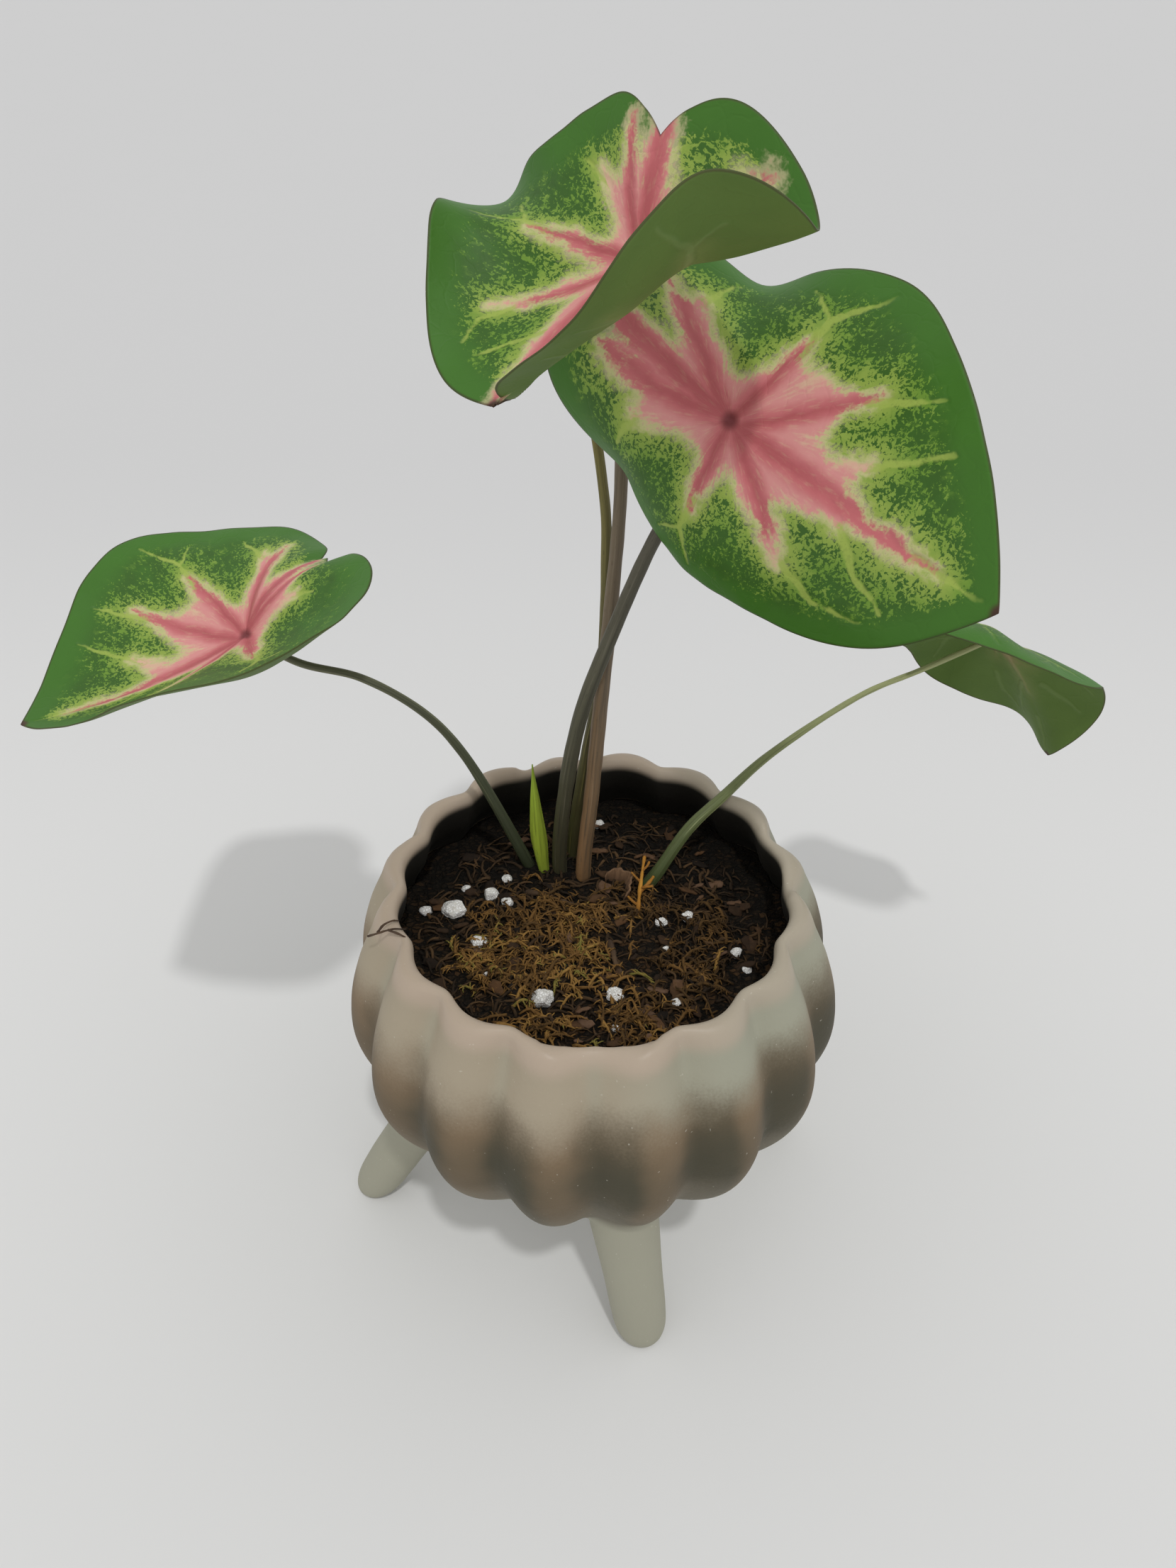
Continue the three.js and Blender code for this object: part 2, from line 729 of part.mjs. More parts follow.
function grains() {
  THREE.MathUtils.seededRandom(GRAIN_SEED);
  return GRAINS.map(([x, y, size]) => {
    const detail = size < LARGE_GRAIN ? SMALL_GRAIN_DETAIL : LARGE_GRAIN_DETAIL;
    const ball = new THREE.IcosahedronGeometry(1, detail);
    const geometry = mergeVertices(ball.deleteAttribute("normal").deleteAttribute("uv"));
    const { position } = geometry.attributes;
    for (let i = 0; i < position.count; i += 1) {
      const swell = 1 + GRAIN_ROUGHNESS * (THREE.MathUtils.seededRandom() - 0.5);
      position.setXYZ(i, position.getX(i) * swell, position.getY(i) * swell, position.getZ(i) * swell);
    }
    geometry.rotateZ(THREE.MathUtils.seededRandom() * 2 * Math.PI);
    geometry.scale(size / 2, (size / 2) * GRAIN_NARROWNESS, (size / 2) * GRAIN_FLATNESS);
    const place = onSoil(x, y, size * GRAIN_RISE).toArray();
    const growth = 1 + (2 * GRAIN_POCKET) / size;
    const hole = solid(geometry.clone().scale(growth, growth, growth).translate(...place));
    return { body: solid(geometry.translate(...place)), hole };
  });
}

// Assembly
const plant = new THREE.Group();
plant.name = "potted_caladium";

function show(name, body, finish) {
  const material = new THREE.MeshStandardMaterial({ ...finish, metalness: 0 });
  const mesh = new THREE.Mesh(surface(body), material);
  mesh.name = name;
  plant.add(mesh);
}

const tuberHole = tuber(TUBER_GAP);
const looseGrains = grains();
const holes = [
  tuberHole,
  ...STALKS.map((entry) => stalk(entry, STALK_GAP)),
  shoot(LITTER_GAP),
  ...TWIGS.map((entry) => twig(entry, LITTER_GAP)),
  root(LITTER_GAP),
  sheath(STALK_GAP),
  ...looseGrains.map(({ hole }) => hole),
];
const mix = holes.reduce((body, hole) => body.subtract(hole), soil());

show("pot", pot(), GLAZE);
show("soil", largest(mix), MIX);
show("tuber", tuber(), TUBER_SKIN);
for (const entry of STALKS) {
  const leaf = LEAVES.find(({ name }) => name === entry.leaf);
  const clear = blade(leaf, BLADE_THICKNESS + 2 * GAP);
  const free = stalk(entry).subtract(tuberHole).subtract(clear);
  show(entry.name, largest(free), { color: entry.colour, roughness: STALK_ROUGHNESS });
}
for (const leaf of LEAVES) {
  show(leaf.name, blade(leaf), { color: leaf.colour, roughness: BLADE_ROUGHNESS });
}
show("shoot", largest(shoot().subtract(tuberHole)), NEW_LEAF);
show("dead_sheath", sheath(), DRY_LEAF);
show("root_sprig", root(), ROOT_SKIN);
for (const entry of TWIGS) {
  show(entry.name, twig(entry), BARK);
}
looseGrains.forEach(({ body }, i) => {
  show(`perlite_${String(i + 1).padStart(2, "0")}`, body, WHITE_GRAIN);
});

// The origin lies on the ground, under the middle of the whole plant
const middle = new THREE.Box3().setFromObject(plant).getCenter(new THREE.Vector3());
for (const mesh of plant.children) {
  mesh.geometry.translate(-middle.x, -middle.y, 0);
}

export default plant;
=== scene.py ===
import math

import bmesh
import bpy
import numpy as np
from bpy.props import FloatProperty, FloatVectorProperty, IntProperty, PointerProperty
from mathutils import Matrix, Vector, noise


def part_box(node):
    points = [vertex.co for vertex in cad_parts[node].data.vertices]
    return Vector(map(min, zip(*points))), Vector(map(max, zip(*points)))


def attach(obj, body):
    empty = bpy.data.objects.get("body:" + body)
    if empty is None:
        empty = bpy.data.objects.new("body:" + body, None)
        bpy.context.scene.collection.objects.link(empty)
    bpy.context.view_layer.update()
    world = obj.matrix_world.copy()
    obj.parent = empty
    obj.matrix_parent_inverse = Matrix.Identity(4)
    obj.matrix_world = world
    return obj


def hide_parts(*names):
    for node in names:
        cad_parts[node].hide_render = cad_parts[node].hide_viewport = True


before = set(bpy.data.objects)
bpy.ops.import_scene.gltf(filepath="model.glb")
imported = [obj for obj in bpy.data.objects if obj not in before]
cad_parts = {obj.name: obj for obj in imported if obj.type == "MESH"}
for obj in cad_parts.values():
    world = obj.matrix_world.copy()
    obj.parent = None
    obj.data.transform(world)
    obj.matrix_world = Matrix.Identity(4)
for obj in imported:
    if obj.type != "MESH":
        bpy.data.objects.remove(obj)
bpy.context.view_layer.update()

bl_info = {
    "name": "Potted caladium",
    "version": (1, 0, 0),
    "blender": (4, 5, 0),
    "location": "View3D > Sidebar > Caladium",
    "description": "Dresses a caladium with pink veins that grows in a lobed ceramic pot on four legs",
    "category": "Object",
}

# Lengths in this script are millimetres in the pot's own frame, with the pot's axis as z and the ground
# at 0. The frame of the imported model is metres, and the pot stands off its origin. The tuber shows by how
# much: its middle lies at TUBER_MIDDLE in the pot's own frame.
MM = 0.001
TUBER_MIDDLE = np.array([-3, 23, 75])
TUBER_LOW, TUBER_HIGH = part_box("tuber")
POT_AXIS = np.array((TUBER_LOW + TUBER_HIGH) / 2) / MM - TUBER_MIDDLE
POT_HEIGHT = 115


def paint(red, green, blue):
    """A screen colour of 0 to 255 a channel as the linear colour that materials take"""
    shares = [channel / 255 for channel in (red, green, blue)]
    return tuple(s / 12.92 if s <= 0.04045 else ((s + 0.055) / 1.055) ** 2.4 for s in shares)


def in_frame(points):
    """Points of the pot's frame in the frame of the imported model"""
    return (np.asarray(points, float) + POT_AXIS) * MM


# Settings that a user would change


def colour_property(name, description, colour):
    return FloatVectorProperty(
        name=name, description=description, default=colour, subtype="COLOR", min=0, max=1
    )


class PotSettings(bpy.types.PropertyGroup):
    lobes: IntProperty(
        name="Lobes", description="Number of lobes round the pot", default=16, min=8, max=32
    )
    rounding: FloatProperty(
        name="Valley rounding",
        description="How soft the valleys between the lobes are; 0 leaves them sharp",
        default=0.25,
        min=0,
        max=1,
        subtype="FACTOR",
    )
    clay: colour_property("Clay", "Pale glaze below the lobes and on the legs", paint(160, 158, 141))
    sand: colour_property("Sand", "Warm pale glaze high on the left", paint(168, 156, 135))
    mist: colour_property("Mist", "Cool pale glaze high on the right", paint(160, 159, 141))
    brown: colour_property("Brown", "Warm glaze sprayed on the lobes", paint(128, 108, 83))
    smoke: colour_property("Smoke", "Dark glaze sprayed beside the valleys", paint(68, 65, 49))
    fog: colour_property("Fog", "Thin spray below the fullest part of the lobes", paint(132, 125, 109))
    lip: colour_property("Lip", "Warm glaze of the lip", paint(184, 166, 148))
    # Stain is partly painted shade: the inside above the mix is painted dark for its shadow as well as for
    # damp
    stain: colour_property("Stain and shade", "Damp dark inside of the pot", paint(32, 30, 25))


class SoilSettings(bpy.types.PropertyGroup):
    roughness: FloatProperty(
        name="Crumb size",
        description="Height of the crumbs on the mix, in millimetres",
        default=1.1,
        min=0,
        max=4,
    )
    fibres: IntProperty(
        name="Fibres", description="Number of fibres on the mix", default=900, min=0, max=2000
    )
    # The dark mix also carries the painted shade at the back wall and between the bits
    dark: colour_property("Dark mix", "Darkest part of the mix", paint(20, 17, 12))
    light: colour_property("Pale mix", "Lightest part of the mix", paint(62, 46, 29))


class LeafSettings(bpy.types.PropertyGroup):
    thickness: FloatProperty(
        name="Blade thickness",
        description="Thickness of a blade beside its stalk, in millimetres",
        default=0.5,
        min=0.2,
        max=1,
    )
    green: colour_property("Green", "Green of the margin", paint(66, 117, 34))
    deep: colour_property("Deep green", "Dark green between the outer veins", paint(58, 98, 30))
    halo: colour_property("Halo", "Pale speckles beside the star", paint(164, 184, 84))
    moss: colour_property("Moss", "Speckles further out", paint(113, 152, 52))
    rose: colour_property("Rose", "Pink beside the veins", paint(197, 101, 107))
    blush: colour_property("Blush", "Pink between the veins", paint(221, 149, 146))
    cream: colour_property("Cream", "Palest colour, at the edge of the pink", paint(222, 208, 164))
    crimson: colour_property("Crimson", "Veins near the stalk", paint(156, 62, 68))
    underside: colour_property("Underside", "Dull green below a blade", paint(92, 118, 52))


class StageSettings(bpy.types.PropertyGroup):
    floor: colour_property("Floor", "Colour of the floor below the pot", paint(224, 224, 223))
    # Painted shade: the floor behind the pot is painted darker, for the light's falloff towards the back
    shaded_far_floor: colour_property("Shaded far floor", "Colour of the floor behind the pot", paint(209, 209, 209))
    key: FloatProperty(
        name="Key light", description="Strength of the high soft light", default=0.8, min=0, max=10
    )
    fill: FloatProperty(
        name="Fill light", description="Strength of the light from all round", default=0.72, min=0, max=4
    )


SETTINGS = {
    "caladium_pot": PotSettings,
    "caladium_soil": SoilSettings,
    "caladium_leaf": LeafSettings,
    "caladium_stage": StageSettings,
}


# Materials


class Field:
    """What a socket gives over a surface, on which sums can be written"""

    def __init__(self, coat, socket):
        self.coat = coat
        self.socket = socket

    def sum(self, operation, first, second=None, **settings):
        settings["operation"] = operation
        vector = any(isinstance(one, Field) and one.socket.type != "VALUE" for one in (first, second))
        kind = "ShaderNodeVectorMath" if vector else "ShaderNodeMath"
        values = {0: first} if second is None else {0: first, 1: second}
        return self.coat.node(kind, settings, values)

    def __add__(self, other):
        return self.sum("ADD", self, other)

    def __radd__(self, other):
        return self.sum("ADD", other, self)

    def __sub__(self, other):
        return self.sum("SUBTRACT", self, other)

    def __rsub__(self, other):
        return self.sum("SUBTRACT", other, self)

    def __mul__(self, other):
        if self.socket.type == "VALUE" or isinstance(other, tuple):
            return self.sum("MULTIPLY", self, other)
        return self.coat.node(
            "ShaderNodeVectorMath", {"operation": "SCALE"}, {0: self, "Scale": other}
        )

    def __rmul__(self, other):
        return self * other

    def __truediv__(self, other):
        return self * (1 / other)

    def __abs__(self):
        return self.sum("ABSOLUTE", self)

    def least(self, other):
        return self.sum("MINIMUM", self, other)

    def most(self, other):
        return self.sum("MAXIMUM", self, other)

    def clamped(self):
        return self.sum("ADD", self, 0.0, use_clamp=True)

    def merged(self, other, reach):
        """The lesser of two, rounded over where they are within reach of each other"""
        return self.coat.node(
            "ShaderNodeMath", {"operation": "SMOOTH_MIN"}, {0: self, 1: other, 2: reach}
        )

    def dot(self, other):
        node = self.coat.node
        return node("ShaderNodeVectorMath", {"operation": "DOT_PRODUCT"}, {0: self, 1: other}, "Value")

    def bearing_over(self, other):
        return self.sum("ARCTAN2", self, other)

    def length(self):
        return self.coat.node("ShaderNodeVectorMath", {"operation": "LENGTH"}, {0: self}, "Value")

    def part(self, axis):
        return self.coat.node("ShaderNodeSeparateXYZ", {}, {0: self}, axis)

    def rise(self, low, high):
        """0 below low, 1 above high and a smooth rise between; the other way round where low is higher"""
        return self.coat.node(
            "ShaderNodeMapRange",
            {"interpolation_type": "SMOOTHSTEP"},
            {"Value": self, "From Min": low, "From Max": high},
        )


class Coat:
    """One material, built node by node"""

    def __init__(self, name, **constants):
        self.material = bpy.data.materials.new(name)
        self.material.use_nodes = True
        self.tree = self.material.node_tree
        self.tree.nodes.clear()
        self.shader = self.tree.nodes.new("ShaderNodeBsdfPrincipled")
        for socket, value in constants.items():
            self.shader.inputs[socket.replace("_", " ")].default_value = value
        output = self.tree.nodes.new("ShaderNodeOutputMaterial")
        self.tree.links.new(self.shader.outputs[0], output.inputs["Surface"])

    def node(self, kind, settings, values, output=0):
        made = self.tree.nodes.new(kind)
        for key, value in settings.items():
            if key == "stops":
                self.set_stops(made.color_ramp.elements, value)
            else:
                setattr(made, key, value)
        for key, value in values.items():
            self.feed(made.inputs[key], value)
        return Field(self, made.outputs[output])

    def set_stops(self, elements, stops):
        for (place, colour), element in zip(stops[:2], elements):
            element.position = place
            element.color = (*colour, 1)
        for place, colour in stops[2:]:
            elements.new(place).color = (*colour, 1)

    def feed(self, socket, value):
        if isinstance(value, Field):
            self.tree.links.new(value.socket, socket)
        elif socket.type == "RGBA":
            socket.default_value = (*value[:3], 1)
        else:
            socket.default_value = value

    def place(self):
        """Where a point of the surface lies, in millimetres of the pot's own frame"""
        spot = self.node("ShaderNodeTexCoord", {}, {}, "Object")
        return (spot - tuple(POT_AXIS * MM)) * (1 / MM)

    def stored(self, name, output="Vector"):
        return self.node("ShaderNodeAttribute", {"attribute_name": name}, {}, output)

    def vector(self, x, y, z):
        return self.node("ShaderNodeCombineXYZ", {}, {0: x, 1: y, 2: z})

    def grain(self, place, scale, detail=2.0, roughness=0.5):
        """Noise from 0 to 1"""
        values = {"Vector": place, "Scale": scale, "Detail": detail, "Roughness": roughness}
        return self.node("ShaderNodeTexNoise", {}, values)

    def drift(self, place, scale, reach):
        """A wandering offset of a few millimetres, to keep outlines from running true"""
        noise_node = self.node("ShaderNodeTexNoise", {}, {"Vector": place, "Scale": scale}, "Color")
        return self.node(
            "ShaderNodeVectorMath",
            {"operation": "MULTIPLY_ADD"},
            {0: noise_node, 1: (2 * reach,) * 3, 2: (-reach,) * 3},
        )

    def wave(self, operation, turn):
        return self.node("ShaderNodeMath", {"operation": operation}, {0: turn})

    def cells(self, place, scale):
        """Distance from the nearest edge of a net of cells"""
        return self.node(
            "ShaderNodeTexVoronoi", {"feature": "DISTANCE_TO_EDGE"}, {"Vector": place, "Scale": scale}
        )

    def ramp(self, factor, stops):
        return self.node("ShaderNodeValToRGB", {"stops": stops}, {0: factor})

    def mix(self, share, first, second):
        """First where share is 0 and second where it is 1"""
        return self.node(
            "ShaderNodeMix", {"data_type": "RGBA"}, {0: share, 6: first, 7: second}, 2
        )

    def finish(self, colour, roughness, height):
        """Feeds the shader; height is the relief in millimetres"""
        self.feed(self.shader.inputs["Base Color"], colour)
        self.feed(self.shader.inputs["Roughness"], roughness)
        bump = self.node("ShaderNodeBump", {}, {"Strength": 1.0, "Distance": MM, "Height": height})
        self.feed(self.shader.inputs["Normal"], bump)
        return self.material


# Shapes


class Shape:
    """Points, faces and marks of one piece, gathered shell by shell"""

    def __init__(self):
        self.points = []
        self.faces = []
        self.marks = {}

    def add(self, points, faces, **marks):
        first = sum(len(part) for part in self.points)
        self.points.append(np.asarray(points, float).reshape(-1, 3))
        self.faces += [tuple(first + index for index in face) for face in faces]
        for name, values in marks.items():
            self.marks.setdefault(name, []).append(np.broadcast_to(values, self.mark_shape(values)))

    def mark_shape(self, values):
        """One value, or one vector, for each point of the newest shell"""
        count = len(self.points[-1])
        return (count, 3) if np.shape(values)[-1:] == (3,) else (count,)


def put(name, shape, material, nodes=()):
    """Makes a piece of the plant, which rides with the pot and stands for the named nodes"""
    mesh = bpy.data.meshes.new(name)
    mesh.from_pydata(in_frame(np.concatenate(shape.points)).tolist(), [], shape.faces)
    for mark, parts in shape.marks.items():
        values = np.concatenate(parts)
        vectors = values.ndim == 2
        stored = mesh.attributes.new(mark, "FLOAT_VECTOR" if vectors else "FLOAT", "POINT")
        stored.data.foreach_set("vector" if vectors else "value", values.astype(np.float32).ravel())
    mesh.validate()
    mesh.shade_smooth()
    return dress(bpy.data.objects.new(name, mesh), material, nodes)


def dress(piece, material, nodes):
    bpy.context.scene.collection.objects.link(piece)
    piece.data.materials.clear()
    piece.data.materials.append(material)
    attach(piece, "root")
    if nodes:
        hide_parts(*nodes)
    return piece


def corners(mesh):
    """The places of a mesh's points"""
    found = np.empty(len(mesh.vertices) * 3)
    mesh.vertices.foreach_get("co", found)
    return found.reshape(-1, 3)


def bearings(sides):
    """The bearings of evenly spaced points round a ring"""
    return np.arange(sides) / sides * math.tau


def panel(low, high, i, count):
    """The face from point i of a ring to the next one and up to another ring; low and high are the
    numbers of the rings' first points"""
    after = (i + 1) % count
    return low + i, low + after, high + after, high + i


def skin(rings):
    """A closed skin over rings of points, with a fan at each end"""
    rings = np.asarray(rings, float)
    rows, count = rings.shape[:2]
    points = np.concatenate([rings.reshape(-1, 3), rings[0].mean(0)[None], rings[-1].mean(0)[None]])
    last = (rows - 1) * count
    faces = []
    for i in range(count):
        after = (i + 1) % count
        faces.append((rows * count, after, i))
        faces.append((rows * count + 1, last + i, last + after))
        faces += [panel(low, low + count, i, count) for low in range(0, last, count)]
    return points, faces


def uniform_curve(points, shares, closed=False):
    """The curve through points that are one step apart, at shares of the way from 0 to 1"""
    points = np.asarray(points, float)
    spans = len(points) if closed else len(points) - 1
    place = np.asarray(shares, float) * spans
    span = np.floor(place).astype(int)
    span = span % spans if closed else np.clip(span, 0, spans - 1)
    share = place - np.floor(place) if closed else place - span
    around = [span + k for k in (-1, 0, 1, 2)]
    around = [index % spans if closed else np.clip(index, 0, spans) for index in around]
    before, start, end, after = (points[index] for index in around)
    share = share.reshape(share.shape + (1,) * (start.ndim - share.ndim))
    return cubic(start, end, (end - before) / 2, (after - start) / 2, share)


def cubic(start, end, start_slope, end_slope, share):
    """The curve from start to end that leaves and arrives with the given slopes"""
    square = -3 * start + 3 * end - 2 * start_slope - end_slope
    cube = 2 * start - 2 * end + start_slope + end_slope
    return start + start_slope * share + square * share**2 + cube * share**3


STEPS_PER_SPAN = 60


def even_curve(points, count):
    """Evenly spaced points of the curve through points that lie at any distance from each other"""
    points = np.asarray(points, float)
    before_first = 2 * points[0] - points[1]
    after_last = 2 * points[-1] - points[-2]
    guides = np.concatenate([[before_first], points, [after_last]])
    shares = np.arange(STEPS_PER_SPAN)[:, None] / STEPS_PER_SPAN
    way = []
    for before, start, end, after in zip(guides, guides[1:], guides[2:], guides[3:]):
        pairs = (before, start), (start, end), (end, after)
        low, here, high = (math.sqrt(math.dist(*pair)) for pair in pairs)
        start_slope = (start - before) / low - (end - before) / (low + here) + (end - start) / here
        end_slope = (end - start) / here - (after - start) / (here + high) + (after - end) / high
        way.append(cubic(start, end, start_slope * here, end_slope * here, shares))
    way = np.concatenate([*way, points[-1:]])
    run = run_along(way)
    stations = np.linspace(0, run[-1], count)
    return np.stack([np.interp(stations, run, way[:, axis]) for axis in range(way.shape[1])], 1)


def run_along(way):
    """How far each point of a way lies from its start, along the way"""
    return np.concatenate([[0], np.cumsum(np.linalg.norm(np.diff(way, axis=0), axis=1))])


def length_of(way):
    return float(run_along(way)[-1])


def frames_along(way):
    """Two directions square to the way at each of its points, without twist"""
    ahead = np.gradient(way, axis=0)
    ahead /= np.linalg.norm(ahead, axis=1)[:, None]
    side = np.cross(ahead[0], (0.0, 0.0, 1.0) if abs(ahead[0][2]) < 0.9 else (1.0, 0.0, 0.0))
    sides = []
    for direction in ahead:
        side = side - direction * side.dot(direction)
        side = side / np.linalg.norm(side)
        sides.append(side)
    sides = np.array(sides)
    return sides, np.cross(ahead, sides)


def bar_rings(way, radii, sides, section=1.0):
    """Rings round a way; section is the reach at each ring and side as a share of the radius"""
    across, over = frames_along(way)
    turn = bearings(sides)
    reach = np.asarray(radii, float)[:, None] * np.broadcast_to(section, (len(way), sides))
    round_way = across[:, None] * np.cos(turn)[:, None] + over[:, None] * np.sin(turn)[:, None]
    return way[:, None] + reach[..., None] * round_way


def add_bar(shape, way, radii, sides, section=1.0):
    """Adds a bar whose mark strand holds where a point lies round it and along it"""
    points, faces = skin(bar_rings(way, radii, sides, section))
    turn = bearings(sides)
    run = run_along(way)
    strand = np.column_stack(
        [np.tile(np.cos(turn), len(way)), np.tile(np.sin(turn), len(way)), np.repeat(run, sides)]
    )
    ends = [[0, 0, 0], [0, 0, run[-1]]]
    shape.add(points, faces, strand=np.concatenate([strand, ends]))


def bumpy(points, size, reach, offset=0.0):
    """Noise from -reach to reach at each point, in lumps of about the given size"""
    shift = Vector((offset, offset, offset))
    return np.array([noise.noise(Vector(point) / size + shift) * reach for point in points])


# Pot

POT_OUTSIDE = [
    [6, 34, 0],
    [28, 34.4, 1],
    [42, 38.5, 2.2],
    [52, 46.5, 3.4],
    [59.5, 58, 4.5],
    [63.3, 72, 4.5],
    [62.5, 86, 4.3],
    [59, 99, 4.2],
    [55.2, 108, 4.2],
    [53.4, 112.6, 4],
]
POT_LIP = [[52, POT_HEIGHT - 0.5, 3.2], [50.2, POT_HEIGHT, 2.4], [48.6, POT_HEIGHT - 0.6, 1.9]]
POT_INSIDE = [
    [48, 112.4, 1.9],
    [50.5, 104, 2.7],
    [55, 96, 3.3],
    [58.4, 84, 3.5],
    [59, 72, 3.5],
    [55.5, 59, 3.2],
    [48, 49, 2.6],
    [36, 42, 1.6],
    [6, 39.4, 0],
]
POT_ROWS = 150
CAVITY_ROWS = 70
STEPS_PER_LOBE = 24
FIRST_VALLEY = -90
# The bearing of each leg, and how far it leans outward and sideways for each millimetre that it drops
LEGS = [(-78.75, 0.08, 0.08), (-168.75, 0.42, 0), (101.25, 0.08, 0), (11.25, 0.08, 0)]
LEAN_HEIGHT = 24
LEG_ROWS = [
    [56.4, 0, 3.6],
    [56.3, 1, 5.4],
    [56, 4, 6.7],
    [55, 12, 7.4],
    [53, 24, 7.8],
    [50, 36, 8.6],
    [47, 52, 9.6],
]
LEG_SIDES = 64
LEG_RINGS = 60
BLEND_REACH = 5  # how far from the crease between pot and leg the glaze is rounded over
BLEND_ROUNDS = 40
BLEND_SHARE = 0.6  # how far each round moves a point to the middle of its neighbours


def fullness(share):
    """How far the pot swells out at a share of a turn from a valley: 0 in a valley and 1 on a crest"""
    settings = bpy.context.scene.caladium_pot
    swell = np.hypot(np.sin(math.pi * settings.lobes * share), settings.rounding) - settings.rounding
    return swell / (math.hypot(1, settings.rounding) - settings.rounding)


def lobed_rings(rows, segments, inset=0.0):
    """Rings round the pot's axis from rows of crest radius, height and depth of the valleys"""
    crest, height, valley = np.asarray(rows, float).T[..., None]
    share = np.arange(segments) / segments
    radius = crest - valley * (1 - fullness(share)) - inset
    turn = math.radians(FIRST_VALLEY) + share * math.tau
    across, along = radius * np.cos(turn), radius * np.sin(turn)
    return np.stack([across, along, np.broadcast_to(height, across.shape)], -1)


def leg_middles(leg, distance, height):
    """The middle of a leg at some heights, and the directions outward and sideways"""
    bearing, lean_outward, lean_sideways = leg
    outward = np.array([math.cos(math.radians(bearing)), math.sin(math.radians(bearing)), 0])
    sideways = np.array([-outward[1], outward[0], 0])
    drop = LEAN_HEIGHT - height
    middles = outward * (distance + lean_outward * drop) + sideways * (lean_sideways * drop)
    return middles + np.array([0, 0, 1]) * height, outward, sideways


def leg_rings(leg):
    """Level rings round a leg, from its foot up into the pot"""
    turn = bearings(LEG_SIDES)[None, :, None]
    distance, height, half_width = even_curve(LEG_ROWS, LEG_RINGS).T[..., None, None]
    middles, outward, sideways = leg_middles(leg, distance, height)
    return middles + half_width * (outward * np.cos(turn) + sideways * np.sin(turn))


def near_crease(points):
    """1 on the creases between the legs and the outside of the pot, and 0 away from them"""
    crest, height, valley = even_curve(POT_OUTSIDE, POT_ROWS).T
    radius = np.hypot(points[:, 0], points[:, 1])
    degrees = np.degrees(np.arctan2(points[:, 1], points[:, 0]))
    wall = np.interp(points[:, 2], height, crest)
    wall -= np.interp(points[:, 2], height, valley) * (1 - fullness((degrees - FIRST_VALLEY) / 360))
    from_pot = np.abs(radius - wall)
    distance, level, half_width = even_curve(LEG_ROWS, LEG_RINGS).T
    distance = np.interp(points[:, 2], level, distance)[:, None]
    half_width = np.interp(points[:, 2], level, half_width)
    from_leg = np.full(len(points), np.inf)
    for leg in LEGS:
        middles = leg_middles(leg, distance, points[:, 2:])[0]
        from_leg = np.minimum(from_leg, np.abs(np.linalg.norm(points - middles, axis=1) - half_width))
    return np.clip(1 - np.maximum(from_pot, from_leg) / BLEND_REACH, 0, 1)


def round_over(mesh):
    """Rounds the creases where the legs meet the pot"""
    points = corners(mesh)
    ends = np.empty(len(mesh.edges) * 2, int)
    mesh.edges.foreach_get("vertices", ends)
    first, second = ends.reshape(-1, 2).T
    neighbours = np.bincount(ends, minlength=len(points))[:, None]
    share = near_crease(points)[:, None] * BLEND_SHARE
    for _ in range(BLEND_ROUNDS):
        total = np.zeros_like(points)
        np.add.at(total, first, points[second])
        np.add.at(total, second, points[first])
        points += (total / neighbours - points) * share
    mesh.vertices.foreach_set("co", points.ravel())


def loose_solid(name, shells):
    """An object of closed shells in millimetres, for joining and cutting"""
    shape = Shape()
    for rings in shells:
        shape.add(*skin(rings))
    mesh = bpy.data.meshes.new(name)
    mesh.from_pydata(np.concatenate(shape.points).tolist(), [], shape.faces)
    solid = bpy.data.objects.new(name, mesh)
    bpy.context.scene.collection.objects.link(solid)
    return solid


def combine(solid, operation, other):
    """Joins solid with the other one, or cuts it by the other one, which is used up"""
    modifier = solid.modifiers.new(operation, "BOOLEAN")
    modifier.operation = operation
    modifier.solver = "MANIFOLD"
    modifier.object = other
    graph = bpy.context.evaluated_depsgraph_get()
    result = bpy.data.meshes.new_from_object(solid.evaluated_get(graph))
    solid.modifiers.clear()
    solid.data = result
    bpy.data.objects.remove(other)


SPRAY_TOP = 104  # the height at which the spray on the lobes sets in
SPRAY_FULL = 87  # and the height from which it covers them
SPRAY_LIFT = 5  # how much higher both are at the right of the pot
SHADE_HEIGHTS = 90, 76  # between these the spray darkens further
SMOKE_SHIFT = math.radians(-64)  # turns the dark bands from the valleys to the right of them
WORN_HEIGHTS = 84, 100  # between these the spray thins out in the valleys
FOG_HEIGHTS = 70, 52
CLAY_HEIGHTS = 54, 47
LIP_HEIGHTS = 108, 112.5
GLOSSY_HEIGHTS = 110, 114
MOUTH_RADIUS = 48.8  # the inner edge of the lip at MOUTH_HEIGHT, which widens downward by MOUTH_FLARE
MOUTH_HEIGHT = 112
MOUTH_FLARE = 0.41
DUST = paint(214, 210, 196)


